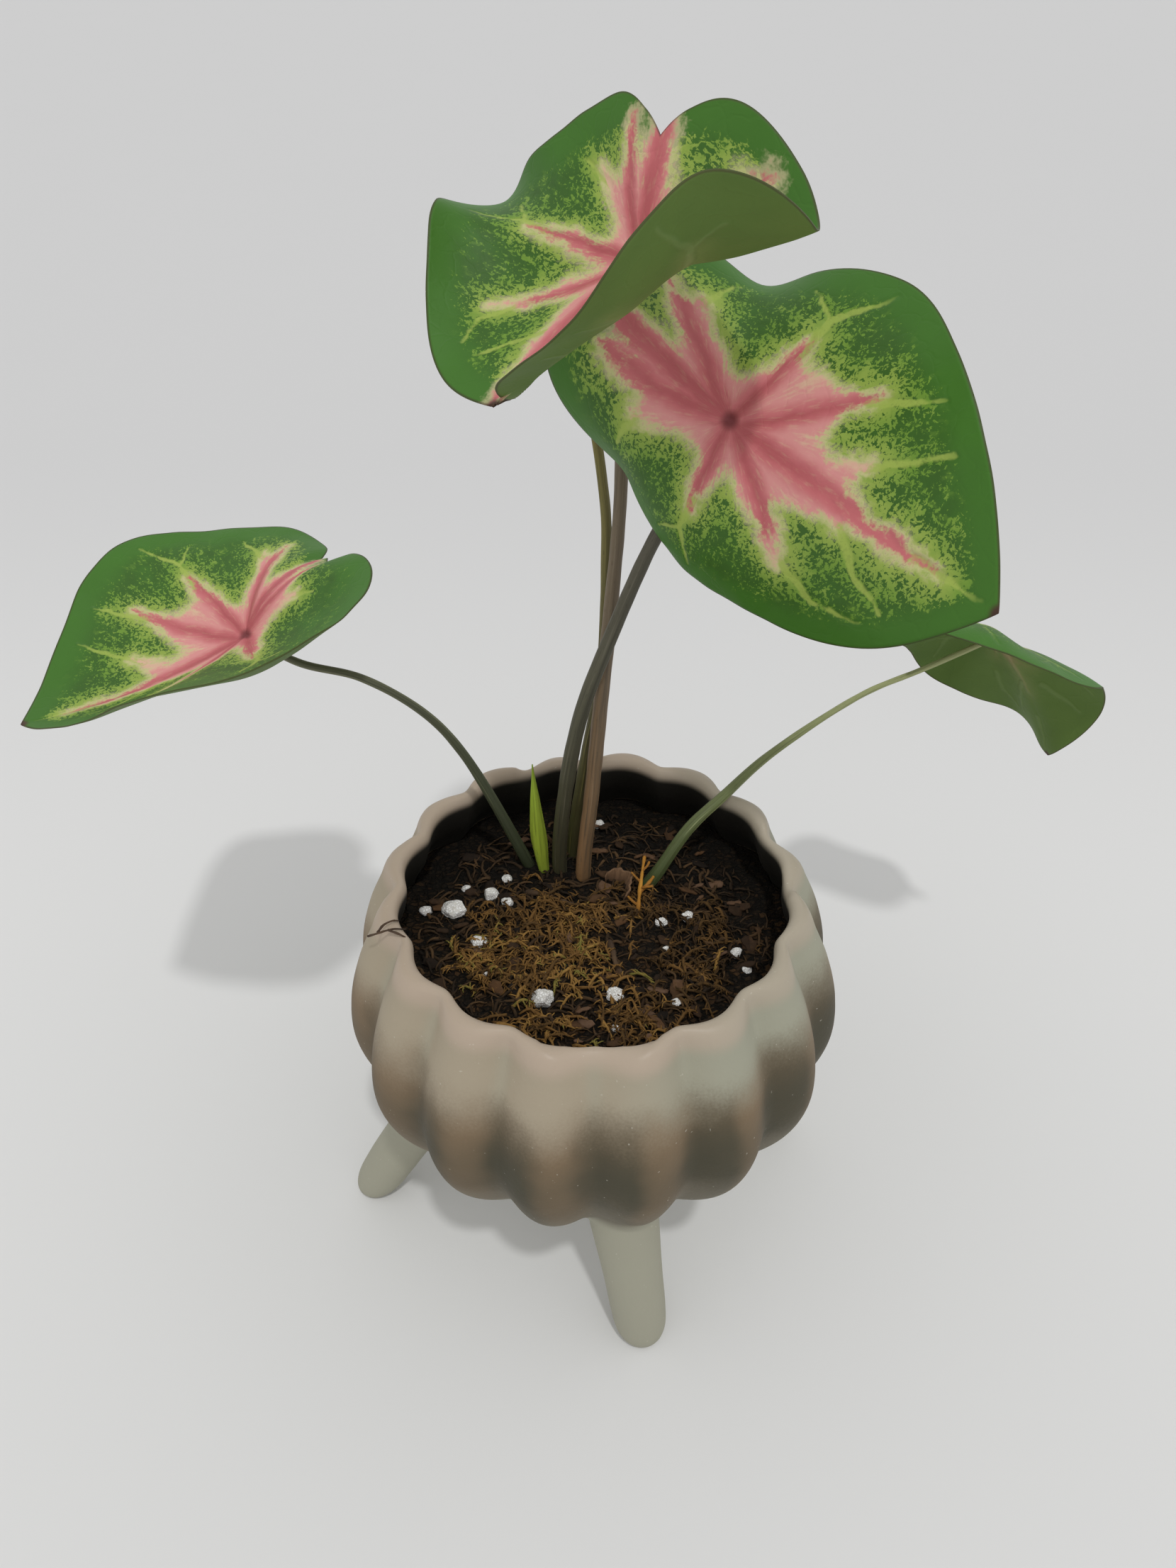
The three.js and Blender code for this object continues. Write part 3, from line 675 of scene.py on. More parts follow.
def pot_coat():
    """Matt glaze, pale above and below. Round its middle lies a spray, dark just right of each valley and
    brown on the rest of each lobe. Above the mix the inside is painted dark, as stain and as shade."""
    settings = bpy.context.scene.caladium_pot
    coat = Coat("pot_glaze", Specular_IOR_Level=0.35)
    place = coat.place()
    x, y, z = (place.part(axis) for axis in "XYZ")
    radius = coat.vector(x, y, 0.0).length()
    azimuth = y.bearing_over(x)
    band = azimuth + (coat.grain(place, 0.05, 2.0) - 0.5) * 0.2
    beside_valley = coat.wave("COSINE", band * settings.lobes + SMOKE_SHIFT) * 0.5 + 0.5
    lobe = abs(coat.wave("SINE", azimuth * (settings.lobes / 2)))
    right = coat.wave("COSINE", azimuth) * 0.5 + 0.5
    cloud = coat.grain(place, 0.06, 2.0)
    speckle = coat.grain(place, 1.6, 3.0)
    height = z + (cloud - 0.5) * 14 + (speckle - 0.5) * 5 - right * SPRAY_LIFT
    spray = height.rise(SPRAY_TOP - SPRAY_LIFT / 2, SPRAY_FULL - SPRAY_LIFT / 2)
    shade = height.rise(*SHADE_HEIGHTS)
    smoke = spray * (beside_valley.rise(-0.1, 0.9) * 0.95 + 0.05 + (cloud - 0.5) * 0.5)
    smoke = smoke * (shade * 0.2 + 0.8)
    colour = coat.mix(right.rise(0.45, 0.8), settings.sand, settings.mist)
    colour = coat.mix(lobe.rise(0.5, 0.0) * z.rise(*WORN_HEIGHTS) * 0.35, colour, settings.mist)
    colour = coat.mix(spray, colour, settings.brown)
    colour = coat.mix(smoke.clamped() * (right.rise(0.0, 0.3) * 0.35 + 0.6), colour, settings.smoke)
    colour = coat.mix(shade * 0.42, colour, settings.smoke)
    colour = coat.mix(height.rise(*FOG_HEIGHTS) * 0.55, colour, settings.fog)
    colour = coat.mix(z.rise(*CLAY_HEIGHTS), colour, settings.clay)
    lip = z.rise(*LIP_HEIGHTS) * (0.8 - right.rise(0.6, 0.9) * 0.3)
    colour = coat.mix(lip, colour, settings.lip)
    # Painted shade and stain: the inside of the pot above the mix is painted dark
    inner_edge = (MOUTH_HEIGHT - z) * MOUTH_FLARE + MOUTH_RADIUS
    inside = (inner_edge - radius).rise(-0.3, 0.3) * z.rise(94, 95) * z.rise(113.4, 110.6)
    colour = coat.mix(inside, colour, settings.stain)
    dust = coat.grain(place, 0.9, 1.0).rise(0.76, 0.79) * (1 - inside)
    colour = coat.mix(dust * 0.35, colour, DUST)
    roughness = 0.62 - z.rise(*GLOSSY_HEIGHTS) * 0.24 + speckle * 0.1
    relief = coat.grain(place, 0.35, 3.0) * 0.12 + speckle * 0.03
    return coat.finish(colour, roughness, relief)


class CALADIUM_OT_pot(bpy.types.Operator):
    """Builds the lobed pot with its four legs"""

    bl_idname = "caladium.pot"
    bl_label = "Pot"

    def execute(self, context):
        segments = context.scene.caladium_pot.lobes * STEPS_PER_LOBE
        profile = even_curve(POT_OUTSIDE + POT_LIP + POT_INSIDE, POT_ROWS)
        inside = even_curve(POT_INSIDE, CAVITY_ROWS)
        pot = loose_solid("pot_body", [lobed_rings(profile, segments)])
        legs = loose_solid("pot_legs", [leg_rings(leg) for leg in LEGS])
        cavity = loose_solid("pot_cavity", [lobed_rings(inside[::-1], segments)])
        combine(legs, "DIFFERENCE", cavity)
        combine(pot, "UNION", legs)
        mesh = pot.data
        bpy.data.objects.remove(pot)
        if len(mesh.polygons) < segments * CAVITY_ROWS:
            raise RuntimeError("the pot lost its body when the legs were joined to it")
        round_over(mesh)
        mesh.vertices.foreach_set("co", in_frame(corners(mesh)).ravel())
        mesh.shade_smooth()
        dress(bpy.data.objects.new("ceramic_pot", mesh), pot_coat(), ["pot"])
        return {"FINISHED"}


# Potting mix

SOIL_HEIGHT = 96.5
SOIL_MOUND = 1.8
SOIL_MOUND_SPREAD = 22
SOIL_RIM_DROP = 1.6
SOIL_WALL_GAP = 0.3
SOIL_SEGMENTS = 416
SOIL_RINGS = 120
SOIL_LAST_RING = 0.01
CLUMPS = [(0.7, 31, 40, 0), (0.5, 19, -60, 2)]
SOIL_EDGE = SOIL_HEIGHT - SOIL_RIM_DROP
SOIL_REACH = 55.2
CRUMB_LUMPS = 3.4, 1.5  # sizes of the larger and the smaller crumbs
CRUMB_BROWN = paint(84, 60, 36)
CORK_DARK = paint(74, 52, 36)
CORK_PALE = paint(132, 98, 66)


def soil_height(x, y):
    """Height of the mix: heaped round the stalks, clumped, and lower at the wall"""
    inward = 1 - np.minimum(1, np.hypot(x, y) / SOIL_REACH) ** 4
    from_stalks = np.hypot(x - TUBER_MIDDLE[0], y - TUBER_MIDDLE[1]) / SOIL_MOUND_SPREAD
    height = SOIL_RIM_DROP + SOIL_MOUND * np.exp(-(from_stalks**2))
    for size, across, along, shift in CLUMPS:
        bearing = math.radians(along)
        u = (x * math.cos(bearing) + y * math.sin(bearing)) / across
        v = (y * math.cos(bearing) - x * math.sin(bearing)) / across
        height = height + size * np.sin(math.tau * u + shift) * np.cos(math.tau * v)
    return SOIL_EDGE + height * inward


def on_soil(route):
    """Points at given heights above the mix"""
    route = np.asarray(route, float)
    heights = soil_height(route[:, 0], route[:, 1]) + route[:, 2]
    return np.column_stack([route[:, :2], heights])


def soil_coat():
    """Nearly black mix with browner bits, painted shade between them and painted shade towards the back
    wall
    """
    settings = bpy.context.scene.caladium_soil
    coat = Coat("potting_mix", Specular_IOR_Level=0.2)
    place = coat.place()
    crumbs = coat.grain(place, 0.55, 5.0, 0.65)
    bits = place * (0.45, 0.75, 0.6) + coat.drift(place, 0.3, 0.9)
    bit = coat.node("ShaderNodeTexVoronoi", {}, {"Vector": bits, "Scale": 1.0}, "Color").part("X")
    # Painted shade: the edges between the bits are painted dark, as shade in the crevices
    shaded_gaps = coat.cells(bits, 1.0).rise(0.16, 0.02)
    # Painted shade, named dry: from 1 at the front to 0.3 at the back wall, it darkens the mix there
    dry = place.part("Y").rise(24, -6) * 0.7 + 0.3
    colour = coat.mix(crumbs.rise(0.4, 0.66) * dry * 0.7, settings.dark, settings.light)
    colour = coat.mix(bit.rise(0.5, 0.95) * dry * 0.6, colour, CRUMB_BROWN)
    colour = coat.mix(shaded_gaps * 0.8, colour, settings.dark)
    relief = crumbs * 0.8 + bit * 0.7 - shaded_gaps * 0.9 + coat.grain(place, 2.5, 3.0) * 0.2
    return coat.finish(colour, 0.92, relief)


class CALADIUM_OT_soil(bpy.types.Operator):
    """Builds the potting mix with its crumbs"""

    bl_idname = "caladium.soil"
    bl_label = "Potting mix"

    def execute(self, context):
        size = context.scene.caladium_soil.roughness
        profile = even_curve(POT_INSIDE, CAVITY_ROWS)
        wall = profile[profile[:, 1] < SOIL_EDGE][::-1]
        wall_rings = lobed_rings(wall + [0, SOIL_WALL_GAP, 0], SOIL_SEGMENTS, SOIL_WALL_GAP)
        edge = lobed_rings([[SOIL_REACH, SOIL_EDGE, wall[-1][2]]], SOIL_SEGMENTS, SOIL_WALL_GAP)[0]
        shares = np.linspace(1, SOIL_LAST_RING, SOIL_RINGS)[:, None]
        x, y = edge[:, 0] * shares, edge[:, 1] * shares
        top = np.stack([x, y, soil_height(x, y)], -1)
        flat = top.reshape(-1, 3)
        large, small = CRUMB_LUMPS
        crumbs = np.abs(bumpy(flat, large, size)) + np.abs(bumpy(flat, small, size * 0.5, 7.0))
        settle = np.clip((1 - shares) * 12, 0, 1)
        top[..., 2] += (crumbs.reshape(x.shape) - size * 0.3) * settle
        shape = Shape()
        shape.add(*skin(np.concatenate([wall_rings[:-1], top])))
        put("mix", shape, soil_coat(), ["soil"])
        return {"FINISHED"}


class CALADIUM_OT_tuber(bpy.types.Operator):
    """Gives the buried tuber its corky skin"""

    bl_idname = "caladium.tuber"
    bl_label = "Tuber"

    def execute(self, context):
        coat = Coat("tuber_skin", Specular_IOR_Level=0.25)
        place = coat.place()
        rings = coat.wave("SINE", place.part("Z") * 1.6)
        cork = coat.grain(place, 0.4, 4.0)
        colour = coat.mix(cork.rise(0.35, 0.65), CORK_DARK, CORK_PALE)
        skin_material = coat.finish(colour, 0.9, cork * 0.8 + rings * 0.15)
        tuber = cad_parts["tuber"]
        for slot in tuber.material_slots:
            slot.material = skin_material
        return {"FINISHED"}


# Leaf blades

MARGIN_ANGLES = [0, 12, 30, 52, 75, 100, 125, 148, 164, 173, 180]
MARGIN = [1, 0.89, 0.79, 0.73, 0.71, 0.63, 0.63, 0.62, 0.62, 0.53, 0.45]
BLADE_RAYS = 288
BLADE_RINGS = 54
THIN_MARGIN = 0.45  # how much thinner a blade is at its margin, as a share
RIPPLE = 0.35
RIPPLE_SIZE = 9

# A blade's foot is where its stalk meets it, and its turns are its bearing, pitch and roll about the foot.
# The margin is its distance from the foot at MARGIN_ANGLES from the tip, as a share of the length. The
# slopes are those of the rays, every eighth of a turn from the tip, at the stalk and at the margin. A wave
# turns the margin up or down round one angle, and a fold rolls one side over along a crease. The hand is
# -1 where the veins are mirrored, star is the size of the pink star, squeeze draws its right half in, and
# speckle is the strength of the marks further out.
LEAVES = [
    {
        "name": "leaf_top",
        "foot": [7.8, 17, 255.3],
        "turns": [-137.6, 41.7, -25.6],
        "length": 45,
        "width": 1.39,
        "margin": [0.826, 0.89, 0.832, 0.774, 0.71, 0.71, 0.6, 0.62, 0.64, 0.56, 0.46],
        "stalk_slopes": [23, 22, 36, 35, 29, -30, -15, 8],
        "margin_slopes": [-10, 6, 38.4, 37, 24, -22, 10, -30],
        "waves": [(97.7, 20, -59.3), (47.2, 35.6, 90), (20.3, 14, 8.3)],
        "fold": {"side": -1, "across": -0.1, "ahead": 36.1, "splay": 13.1, "spread": 47.3, "turn": 62.7},
        "hand": 1,
        "star": 1.18,
        "squeeze": 1,
        "speckle": 1,
    },
    {
        "name": "leaf_front",
        "foot": [26.4, 17.2, 225.7],
        "turns": [-36, 22, -45],
        "length": 64,
        "width": 0.89,
        "margin": MARGIN,
        "stalk_slopes": [1, -10, -7, -1, 22, 2, 4, 8],
        "margin_slopes": [13, -62, -82, -41, 35, -2, -6, 28],
        "waves": [(134, 24, -56), (243, 18, -56)],
        "hand": 1,
        "star": 1.0,
        "squeeze": 1,
        "speckle": 1,
    },
    {
        "name": "leaf_left",
        "foot": [-84, 36.4, 163],
        "turns": [-146, 16, -17],
        "length": 55,
        "width": 1.25,
        "margin": [0.994, 0.881, 0.783, 0.75, 0.723, 0.627, 0.618, 0.655, 0.61, 0.506, 0.524],
        "stalk_slopes": [0, 15.4, 33.5, 34.5, 44.3, 0, -11.3, 1.5],
        "margin_slopes": [21, 42.9, 22.4, 2.8, -16.3, 10.7, 28.9, 28.2],
        "waves": [(157, 16, -20), (198, 18, 4.4), (168, 18, -5)],
        "hand": -1,
        "star": 1.05,
        "squeeze": 1.7,
        "speckle": 1,
    },
    {
        "name": "leaf_right",
        "foot": [111.5, 72.7, 138],
        "turns": [6, 38, 27],
        "length": 46,
        "width": 1,
        "margin": [0.987, 0.899, 0.806, 0.713, 0.744, 0.63, 0.572, 0.629, 0.619, 0.53, 0.45],
        "stalk_slopes": [-2.8, 12, 3.9, 16.5, 3.4, 8.8, 19.4, 9.6],
        "margin_slopes": [-50.3, -11.3, -22.6, -50.9, -46.3, -70.8, -66.8, -53],
        "waves": [(340.6, 18, 36.6), (301.6, 18, -13.2)],
        "hand": -1,
        "star": 0.62,
        "squeeze": 1,
        "speckle": 0.3,
    },
    {
        "name": "leaf_back",
        "foot": [-16, 60, 231],
        "turns": [115, 12, 4],
        "length": 30,
        "width": 0.95,
        "margin": MARGIN,
        "stalk_slopes": [0, 5, 8, 5, 8, 5, 8, 5],
        "margin_slopes": [-25, -10, -5, -10, -15, -10, -5, -10],
        "waves": [(70, 25, -15)],
        "hand": -1,
        "star": 0.9,
        "squeeze": 1,
        "speckle": 1,
    },
]

# Veins on a blade that is one unit long and one unit wide to each side, with the stalk at the origin and
# the tip at (0, 1). Each is a line of points, with the half width in millimetres at each of them.
STAR = [
    [(0, 0, 6.5), (0, 0.26, 5), (0.01, 0.45, 1.6), (0.01, 0.62, 0.9), (0.01, 0.78, 0.4)],
    [(0, 0, 7), (-0.15, 0.14, 7.5)],
    [(0, 0.02, 5), (-0.18, 0.05, 3), (-0.36, 0.05, 0.3)],
    [(0, 0.06, 5), (-0.18, 0.2, 3.2), (-0.34, 0.35, 0.3)],
    [(-0.03, 0.34, 2.6), (-0.15, 0.45, 0.3)],
    [(0.03, 0.01, 3), (0.2, 0.03, 1.5), (0.34, 0.05, 0.3)],
    [(0.02, 0.08, 4), (0.14, 0.2, 2.2), (0.2, 0.3, 0.7)],
    [(0.21, 0.31, 0.9), (0.27, 0.4, 0.4)],
    [(0, 0.3, 2.6), (0.03, 0.46, 0.3)],
    [(0, 0, 5), (-0.005, -0.42, 2.4)],
    [(0.03, -0.04, 5), (0.07, -0.22, 3), (0.09, -0.44, 0.8)],
    [(0.06, -0.12, 3), (0.19, -0.27, 0.4)],
    [(0, -0.06, 5), (-0.1, -0.17, 3), (-0.18, -0.31, 1.4), (-0.23, -0.4, 0.4)],
    [(-0.13, -0.22, 1.6), (-0.25, -0.3, 0.3)],
]
VEINS = [
    [(0, 0, 1), (0, 0.5, 0.6), (0.01, 0.8, 0.2)],
    [(0, 0, 0.7), (-0.36, 0.05, 0.2)],
    [(0, 0.03, 0.7), (-0.34, 0.36, 0.2)],
    [(0.01, 0, 0.7), (0.34, 0.05, 0.2)],
    [(0.01, 0.03, 0.7), (0.2, 0.3, 0.3)],
    [(0, 0, 1.3), (-0.005, -0.44, 0.9)],
    [(0, -0.01, 0.8), (0.07, -0.22, 0.6), (0.09, -0.46, 0.3)],
    [(0, -0.02, 0.8), (-0.1, -0.17, 0.6), (-0.23, -0.4, 0.3)],
]
OUTER_VEINS = [
    [(0.01, 0.7, 0.9), (0, 0.94, 0.2)],
    [(-0.3, 0.05, 1), (-0.46, 0.06, 0.8), (-0.63, 0.18, 0.2)],
    [(-0.3, 0.33, 1), (-0.42, 0.53, 0.25)],
    [(-0.12, 0.43, 0.8), (-0.3, 0.65, 0.25)],
    [(0.3, 0.04, 0.9), (0.44, 0.04, 0.7), (0.6, 0.14, 0.2)],
    [(0.26, 0.4, 0.8), (0.3, 0.56, 0.6), (0.25, 0.7, 0.2)],
    [(0.03, 0.42, 0.8), (0.15, 0.6, 0.5), (0.19, 0.72, 0.2)],
    [(0.18, -0.26, 0.8), (0.3, -0.33, 0.25)],
    [(-0.24, -0.3, 0.8), (-0.42, -0.28, 0.25)],
    [(0.44, 0.04, 0.5), (0.52, -0.06, 0.2)],
    [(-0.45, 0.06, 0.5), (-0.53, -0.05, 0.2)],
]


def leaf_axes(turns):
    """Columns: the leaf's right, its tip's direction and its upper side"""
    bearing, pitch, roll = np.radians(turns)
    level = np.array([math.sin(bearing), -math.cos(bearing), 0])
    flat = math.cos(pitch)
    ahead = np.array([flat * math.cos(bearing), flat * math.sin(bearing), -math.sin(pitch)])
    right = level * math.cos(roll) + np.cross(level, ahead) * math.sin(roll)
    return np.stack([right, ahead, np.cross(right, ahead)], 1)


def folded(points, side, across, ahead, splay, spread, turn):
    """Rolls what lies beyond the crease about a cone whose point is where the crease starts"""
    splay, spread, turn = np.radians([splay, spread, turn])
    up = np.array([0, 0, 1.0])
    start = np.array([side * across, ahead, 0])
    crease = np.array([side * math.sin(splay), -math.cos(splay), 0])
    outward = np.array([side * math.cos(splay), math.sin(splay), 0])
    tilt = math.atan2(spread, turn)
    axis = side * (crease * math.cos(tilt) + up * math.sin(tilt))
    gap = points - start
    distance = np.hypot(gap[..., 0], gap[..., 1])
    bearing = np.arctan2(gap @ outward, gap @ crease)
    ease = np.clip((math.pi - bearing) / (math.pi / 2), 0, 1)
    rolled = np.clip(bearing, 0, spread) * ease * ease * (3 - 2 * ease)
    rest = (bearing - rolled)[..., None]
    laid = distance[..., None] * (np.cos(rest) * crease + np.sin(rest) * outward) + gap[..., 2:] * up
    angle = (rolled / math.sin(tilt))[..., None]
    along_axis = (laid @ axis)[..., None] * axis
    turned = laid * np.cos(angle) + np.cross(axis, laid) * np.sin(angle)
    return turned + along_axis * (1 - np.cos(angle)) + start


def blade_rays(leaf):
    """For each ray of a blade its bearing from the tip in degrees, its direction and its length"""
    shares = np.arange(BLADE_RAYS) / BLADE_RAYS * 2
    mirrored = shares > 1
    outline = np.column_stack([MARGIN_ANGLES, leaf["margin"]])
    half = uniform_curve(outline, np.where(mirrored, 2 - shares, shares))
    degrees = np.where(mirrored, 360 - half[:, 0], half[:, 0])
    turn = np.radians(degrees)
    way = np.column_stack([leaf["width"] * np.sin(turn), np.cos(turn)])
    return degrees, way, half[:, 1] * leaf["length"]


def blade_slopes(leaf, degrees):
    """The slope of each ray in radians, at the middle of each of its steps"""
    at_stalk = uniform_curve(leaf["stalk_slopes"], degrees / 360, closed=True)
    at_margin = uniform_curve(leaf["margin_slopes"], degrees / 360, closed=True)
    waved = np.zeros(BLADE_RAYS)
    for at, spread, turn in leaf["waves"]:
        off = (degrees - at + 180) % 360 - 180
        waved += turn * np.exp(-((off / spread) ** 2))
    middles = ((np.arange(BLADE_RINGS) + 0.5) / BLADE_RINGS)[:, None]
    return np.radians(at_stalk + (at_margin - at_stalk) * middles + waved * middles**2)


def blade_grid(leaf):
    """Middle surface of a blade as rings of points, with their places on the blade laid flat and their
    distances to the margin"""
    degrees, way, reach = blade_rays(leaf)
    slope = blade_slopes(leaf, degrees)
    step = reach * np.linalg.norm(way, axis=1) / BLADE_RINGS
    heading = way / np.linalg.norm(way, axis=1)[:, None]
    level = heading * (step * np.cos(slope))[..., None]
    moves = np.concatenate([level, (step * np.sin(slope))[..., None]], -1)
    grid = np.concatenate([np.zeros((1, BLADE_RAYS, 3)), np.cumsum(moves, 0)])
    rings = (np.arange(BLADE_RINGS + 1) / BLADE_RINGS)[:, None, None]
    flat = np.concatenate([rings * way * reach[:, None], np.zeros(grid.shape[:2] + (1,))], -1)
    margin = (1 - rings[..., 0]) * step * BLADE_RINGS
    if "fold" in leaf:
        grid = folded(grid, **leaf["fold"])
    return grid @ leaf_axes(leaf["turns"]).T + leaf["foot"], flat, margin


def blade_normals(grid):
    around = np.roll(grid, -1, 1) - np.roll(grid, 1, 1)
    normals = np.cross(around, np.gradient(grid, axis=0))
    normals[0] = normals[1].mean(0)
    return normals / np.linalg.norm(normals, axis=-1)[..., None]


def disc_faces():
    """Faces of one side of a blade, round its foot and from ring to ring"""
    count = BLADE_RAYS
    faces = []
    for i in range(count):
        after = (i + 1) % count
        faces.append((0, 1 + after, 1 + i))
        first_points = range(1, 1 + (BLADE_RINGS - 1) * count, count)
        faces += [panel(low, low + count, i, count) for low in first_points]
    return faces


def foot_once(values):
    """A blade's values in one row, with that of its foot, which all rays share, only once"""
    return np.concatenate([values[0, :1], values[1:].reshape(-1, *values.shape[2:])])


def blade_shape(leaf, thickness):
    """A thin closed blade; its marks are the flat place, the distance to the margin and the side"""
    grid, flat, margin = blade_grid(leaf)
    normals = blade_normals(grid)
    share = (np.arange(BLADE_RINGS + 1) / BLADE_RINGS)[:, None]
    ripple = bumpy(flat.reshape(-1, 3), RIPPLE_SIZE, RIPPLE, leaf["length"])
    grid = grid + normals * (ripple.reshape(margin.shape) * share)[..., None]
    half = (thickness / 2 * (1 - THIN_MARGIN * share**2))[..., None]
    upper = disc_faces()
    size = 1 + BLADE_RINGS * BLADE_RAYS
    under = [tuple(size + index for index in reversed(face)) for face in upper]
    rim = size - BLADE_RAYS
    edge = [panel(rim, size + rim, i, BLADE_RAYS) for i in range(BLADE_RAYS)]
    shape = Shape()
    shape.add(
        np.concatenate([foot_once(grid + normals * half), foot_once(grid - normals * half)]),
        upper + under + edge,
        flat=np.tile(foot_once(flat), (2, 1)),
        margin=np.tile(foot_once(margin), 2),
        upper=np.repeat([1.0, 0.0], size),
    )
    return shape


VEIN_SCALE_LENGTH = 64  # the blade length for which the veins' widths are given
STAR_MERGE = 4.5  # how far off the broad veins of the star run into each other


def nearest_vein(coat, place, veins, leaf, share=1.0, merge=None):
    """Distance outside the nearest of some tapering veins, in millimetres; below 0 within them. The veins
    are drawn at a share of their full size, and merge is how far off they run into each other."""
    length = leaf["length"] * share
    scale = length / VEIN_SCALE_LENGTH
    sizes = np.array([length * leaf["width"], length, 0])
    nearest = None
    for vein in veins:
        for (*low, low_width), (*high, high_width) in zip(vein, vein[1:]):
            start = np.array([*low, 0]) * sizes
            along = np.array([*high, 0]) * sizes - start
            gap = place - tuple(start)
            reached = gap.dot(tuple(along / along.dot(along))).clamped()
            line = coat.node(
                "ShaderNodeVectorMath", {"operation": "SCALE"}, {0: tuple(along), "Scale": reached}
            )
            width = reached * ((high_width - low_width) * scale) + low_width * scale
            outside = (gap - line).length() - width
            if nearest is None:
                nearest = outside
            elif merge:
                nearest = nearest.merged(outside, merge * scale)
            else:
                nearest = nearest.least(outside)
    return nearest


STALK_SPOT = paint(92, 34, 38)
UNDER_SHADE = paint(84, 110, 48)
UNDER_STAR = paint(138, 144, 84)
UNDER_HEART = paint(160, 112, 92)
UNDER_VEIN = paint(154, 146, 100)
UNDER_OUTER_VEIN = paint(128, 148, 92)
DRY_MARGIN = paint(70, 50, 40)
DRY_TIP = paint(74, 52, 38)


class BladeSurface:
    """What the colours of a blade are mixed from: distances in millimetres and patterns from 0 to 1"""

    def __init__(self, coat, leaf):
        self.scale = leaf["length"] * leaf["star"] / VEIN_SCALE_LENGTH
        self.speckle = leaf["speckle"]
        self.flat = coat.stored("flat")
        self.margin = coat.stored("margin", "Fac")
        x, y = self.flat.part("X"), self.flat.part("Y")
        mirrored = x * leaf["hand"]
        squeezed = coat.vector(mirrored.least(0.0) + mirrored.most(0.0) * leaf["squeeze"], y, 0.0)
        ragged = squeezed + coat.drift(self.flat, 0.16, 1.8 * self.scale) + coat.drift(self.flat, 0.7, 0.6)
        fine = squeezed + coat.drift(self.flat, 0.2, 1.0)
        self.star = nearest_vein(coat, ragged, STAR, leaf, leaf["star"], STAR_MERGE)
        self.vein = nearest_vein(coat, fine, VEINS, leaf, leaf["star"])
        self.outer = nearest_vein(coat, fine, OUTER_VEINS, leaf)
        self.radius = self.flat.length()
        rays = coat.vector(x.bearing_over(y) * 22, self.radius * 0.28, 0.0)
        self.streaks = coat.grain(rays, 1.0, 3.0, 0.6)
        self.specks = coat.grain(self.flat + coat.drift(self.flat, 0.4, 1.0), 1.3, 2.0, 0.7)
        self.blotches = coat.grain(self.flat, 0.08, 2.0)
        self.patches = coat.grain(self.flat, 0.2, 2.0)


def speckled_green(coat, settings, blade):
    """Green with pale speckles, dense beside the star and sparse further out"""
    star, scale = blade.star, blade.scale
    specks, patches, streaks = blade.specks - 0.5, blade.patches - 0.5, blade.streaks - 0.5
    far = star.rise(6 * scale, 24 * scale)
    green = coat.mix(far * 0.6 + patches * 1.6, settings.deep, settings.green)
    green = coat.mix(blade.margin.rise(11, 3) * 0.8, green, settings.green)
    near = star.rise(14 * scale, -1.0)
    beside_outer = blade.outer.rise(4.0 * scale, 0.0) * 0.22 * blade.speckle
    density = near * 0.75 + beside_outer + (patches * 0.8 + specks * 3.4 + streaks * 1.4)
    spotted = (density * blade.margin.rise(1, 9)).rise(0.38, 0.62)
    spots = coat.mix(star.rise(8 * scale, 0.0), settings.moss, settings.halo)
    spots = coat.mix(blade.patches.rise(0.55, 0.7) * 0.4, spots, settings.halo)
    colour = coat.mix(spotted * 0.9, green, spots)
    faint = blade.streaks.rise(0.54, 0.68) * blade.margin.rise(3, 9) * 0.3 * blade.speckle
    return coat.mix(faint, colour, settings.moss)


def upper_colour(coat, settings, blade):
    """A rose star along the veins, pale at its edge, and pale threads further out, on speckled green"""
    vein, scale = blade.vein, blade.scale
    specks, streaks = blade.specks - 0.5, blade.streaks - 0.5
    colour = speckled_green(coat, settings, blade)
    edge = blade.star + streaks * 3.4 + specks * 2.4
    colour = coat.mix(edge.rise(2.4, 0.4) * 0.6, colour, settings.cream)
    thread = (blade.outer + streaks * 1.6).rise(0.35, -0.25) * blade.margin.rise(1, 9) * 0.8
    colour = coat.mix(thread * blade.speckle, colour, settings.halo)
    pink = coat.mix(vein.rise(3.0 * scale, 0.4) * 0.85, settings.blush, settings.rose)
    between = (vein + streaks * 5 + specks * 3).rise(3.0 * scale, 6.2 * scale)
    pink = coat.mix(between * 0.5, pink, settings.cream)
    pink = coat.mix(blade.streaks.rise(0.5, 0.72) * 0.22, pink, settings.cream)
    red = vein.rise(0.8, -0.5) * blade.radius.rise(40 * scale, 6 * scale)
    pink = coat.mix(red * 0.5, pink, settings.crimson)
    colour = coat.mix(edge.rise(0.8, -0.8), colour, pink)
    return coat.mix(blade.radius.rise(2.6, 0.6) * 0.75, colour, STALK_SPOT)


def lower_colour(coat, settings, blade):
    """Dull green through which the star and the veins show faintly"""
    star, vein, radius = blade.star, blade.vein, blade.radius
    colour = coat.mix(blade.blotches.rise(0.3, 0.7) * 0.6, settings.underside, UNDER_SHADE)
    colour = coat.mix(star.rise(6.0, -2.0) * 0.4, colour, UNDER_STAR)
    colour = coat.mix(star.rise(1.0, -2.0) * radius.rise(20, 4) * 0.5, colour, UNDER_HEART)
    colour = coat.mix(vein.rise(1.0, -0.2) * radius.rise(40, 8) * 0.45, colour, UNDER_VEIN)
    return coat.mix(blade.outer.rise(0.5, -0.2) * 0.25, colour, UNDER_OUTER_VEIN)


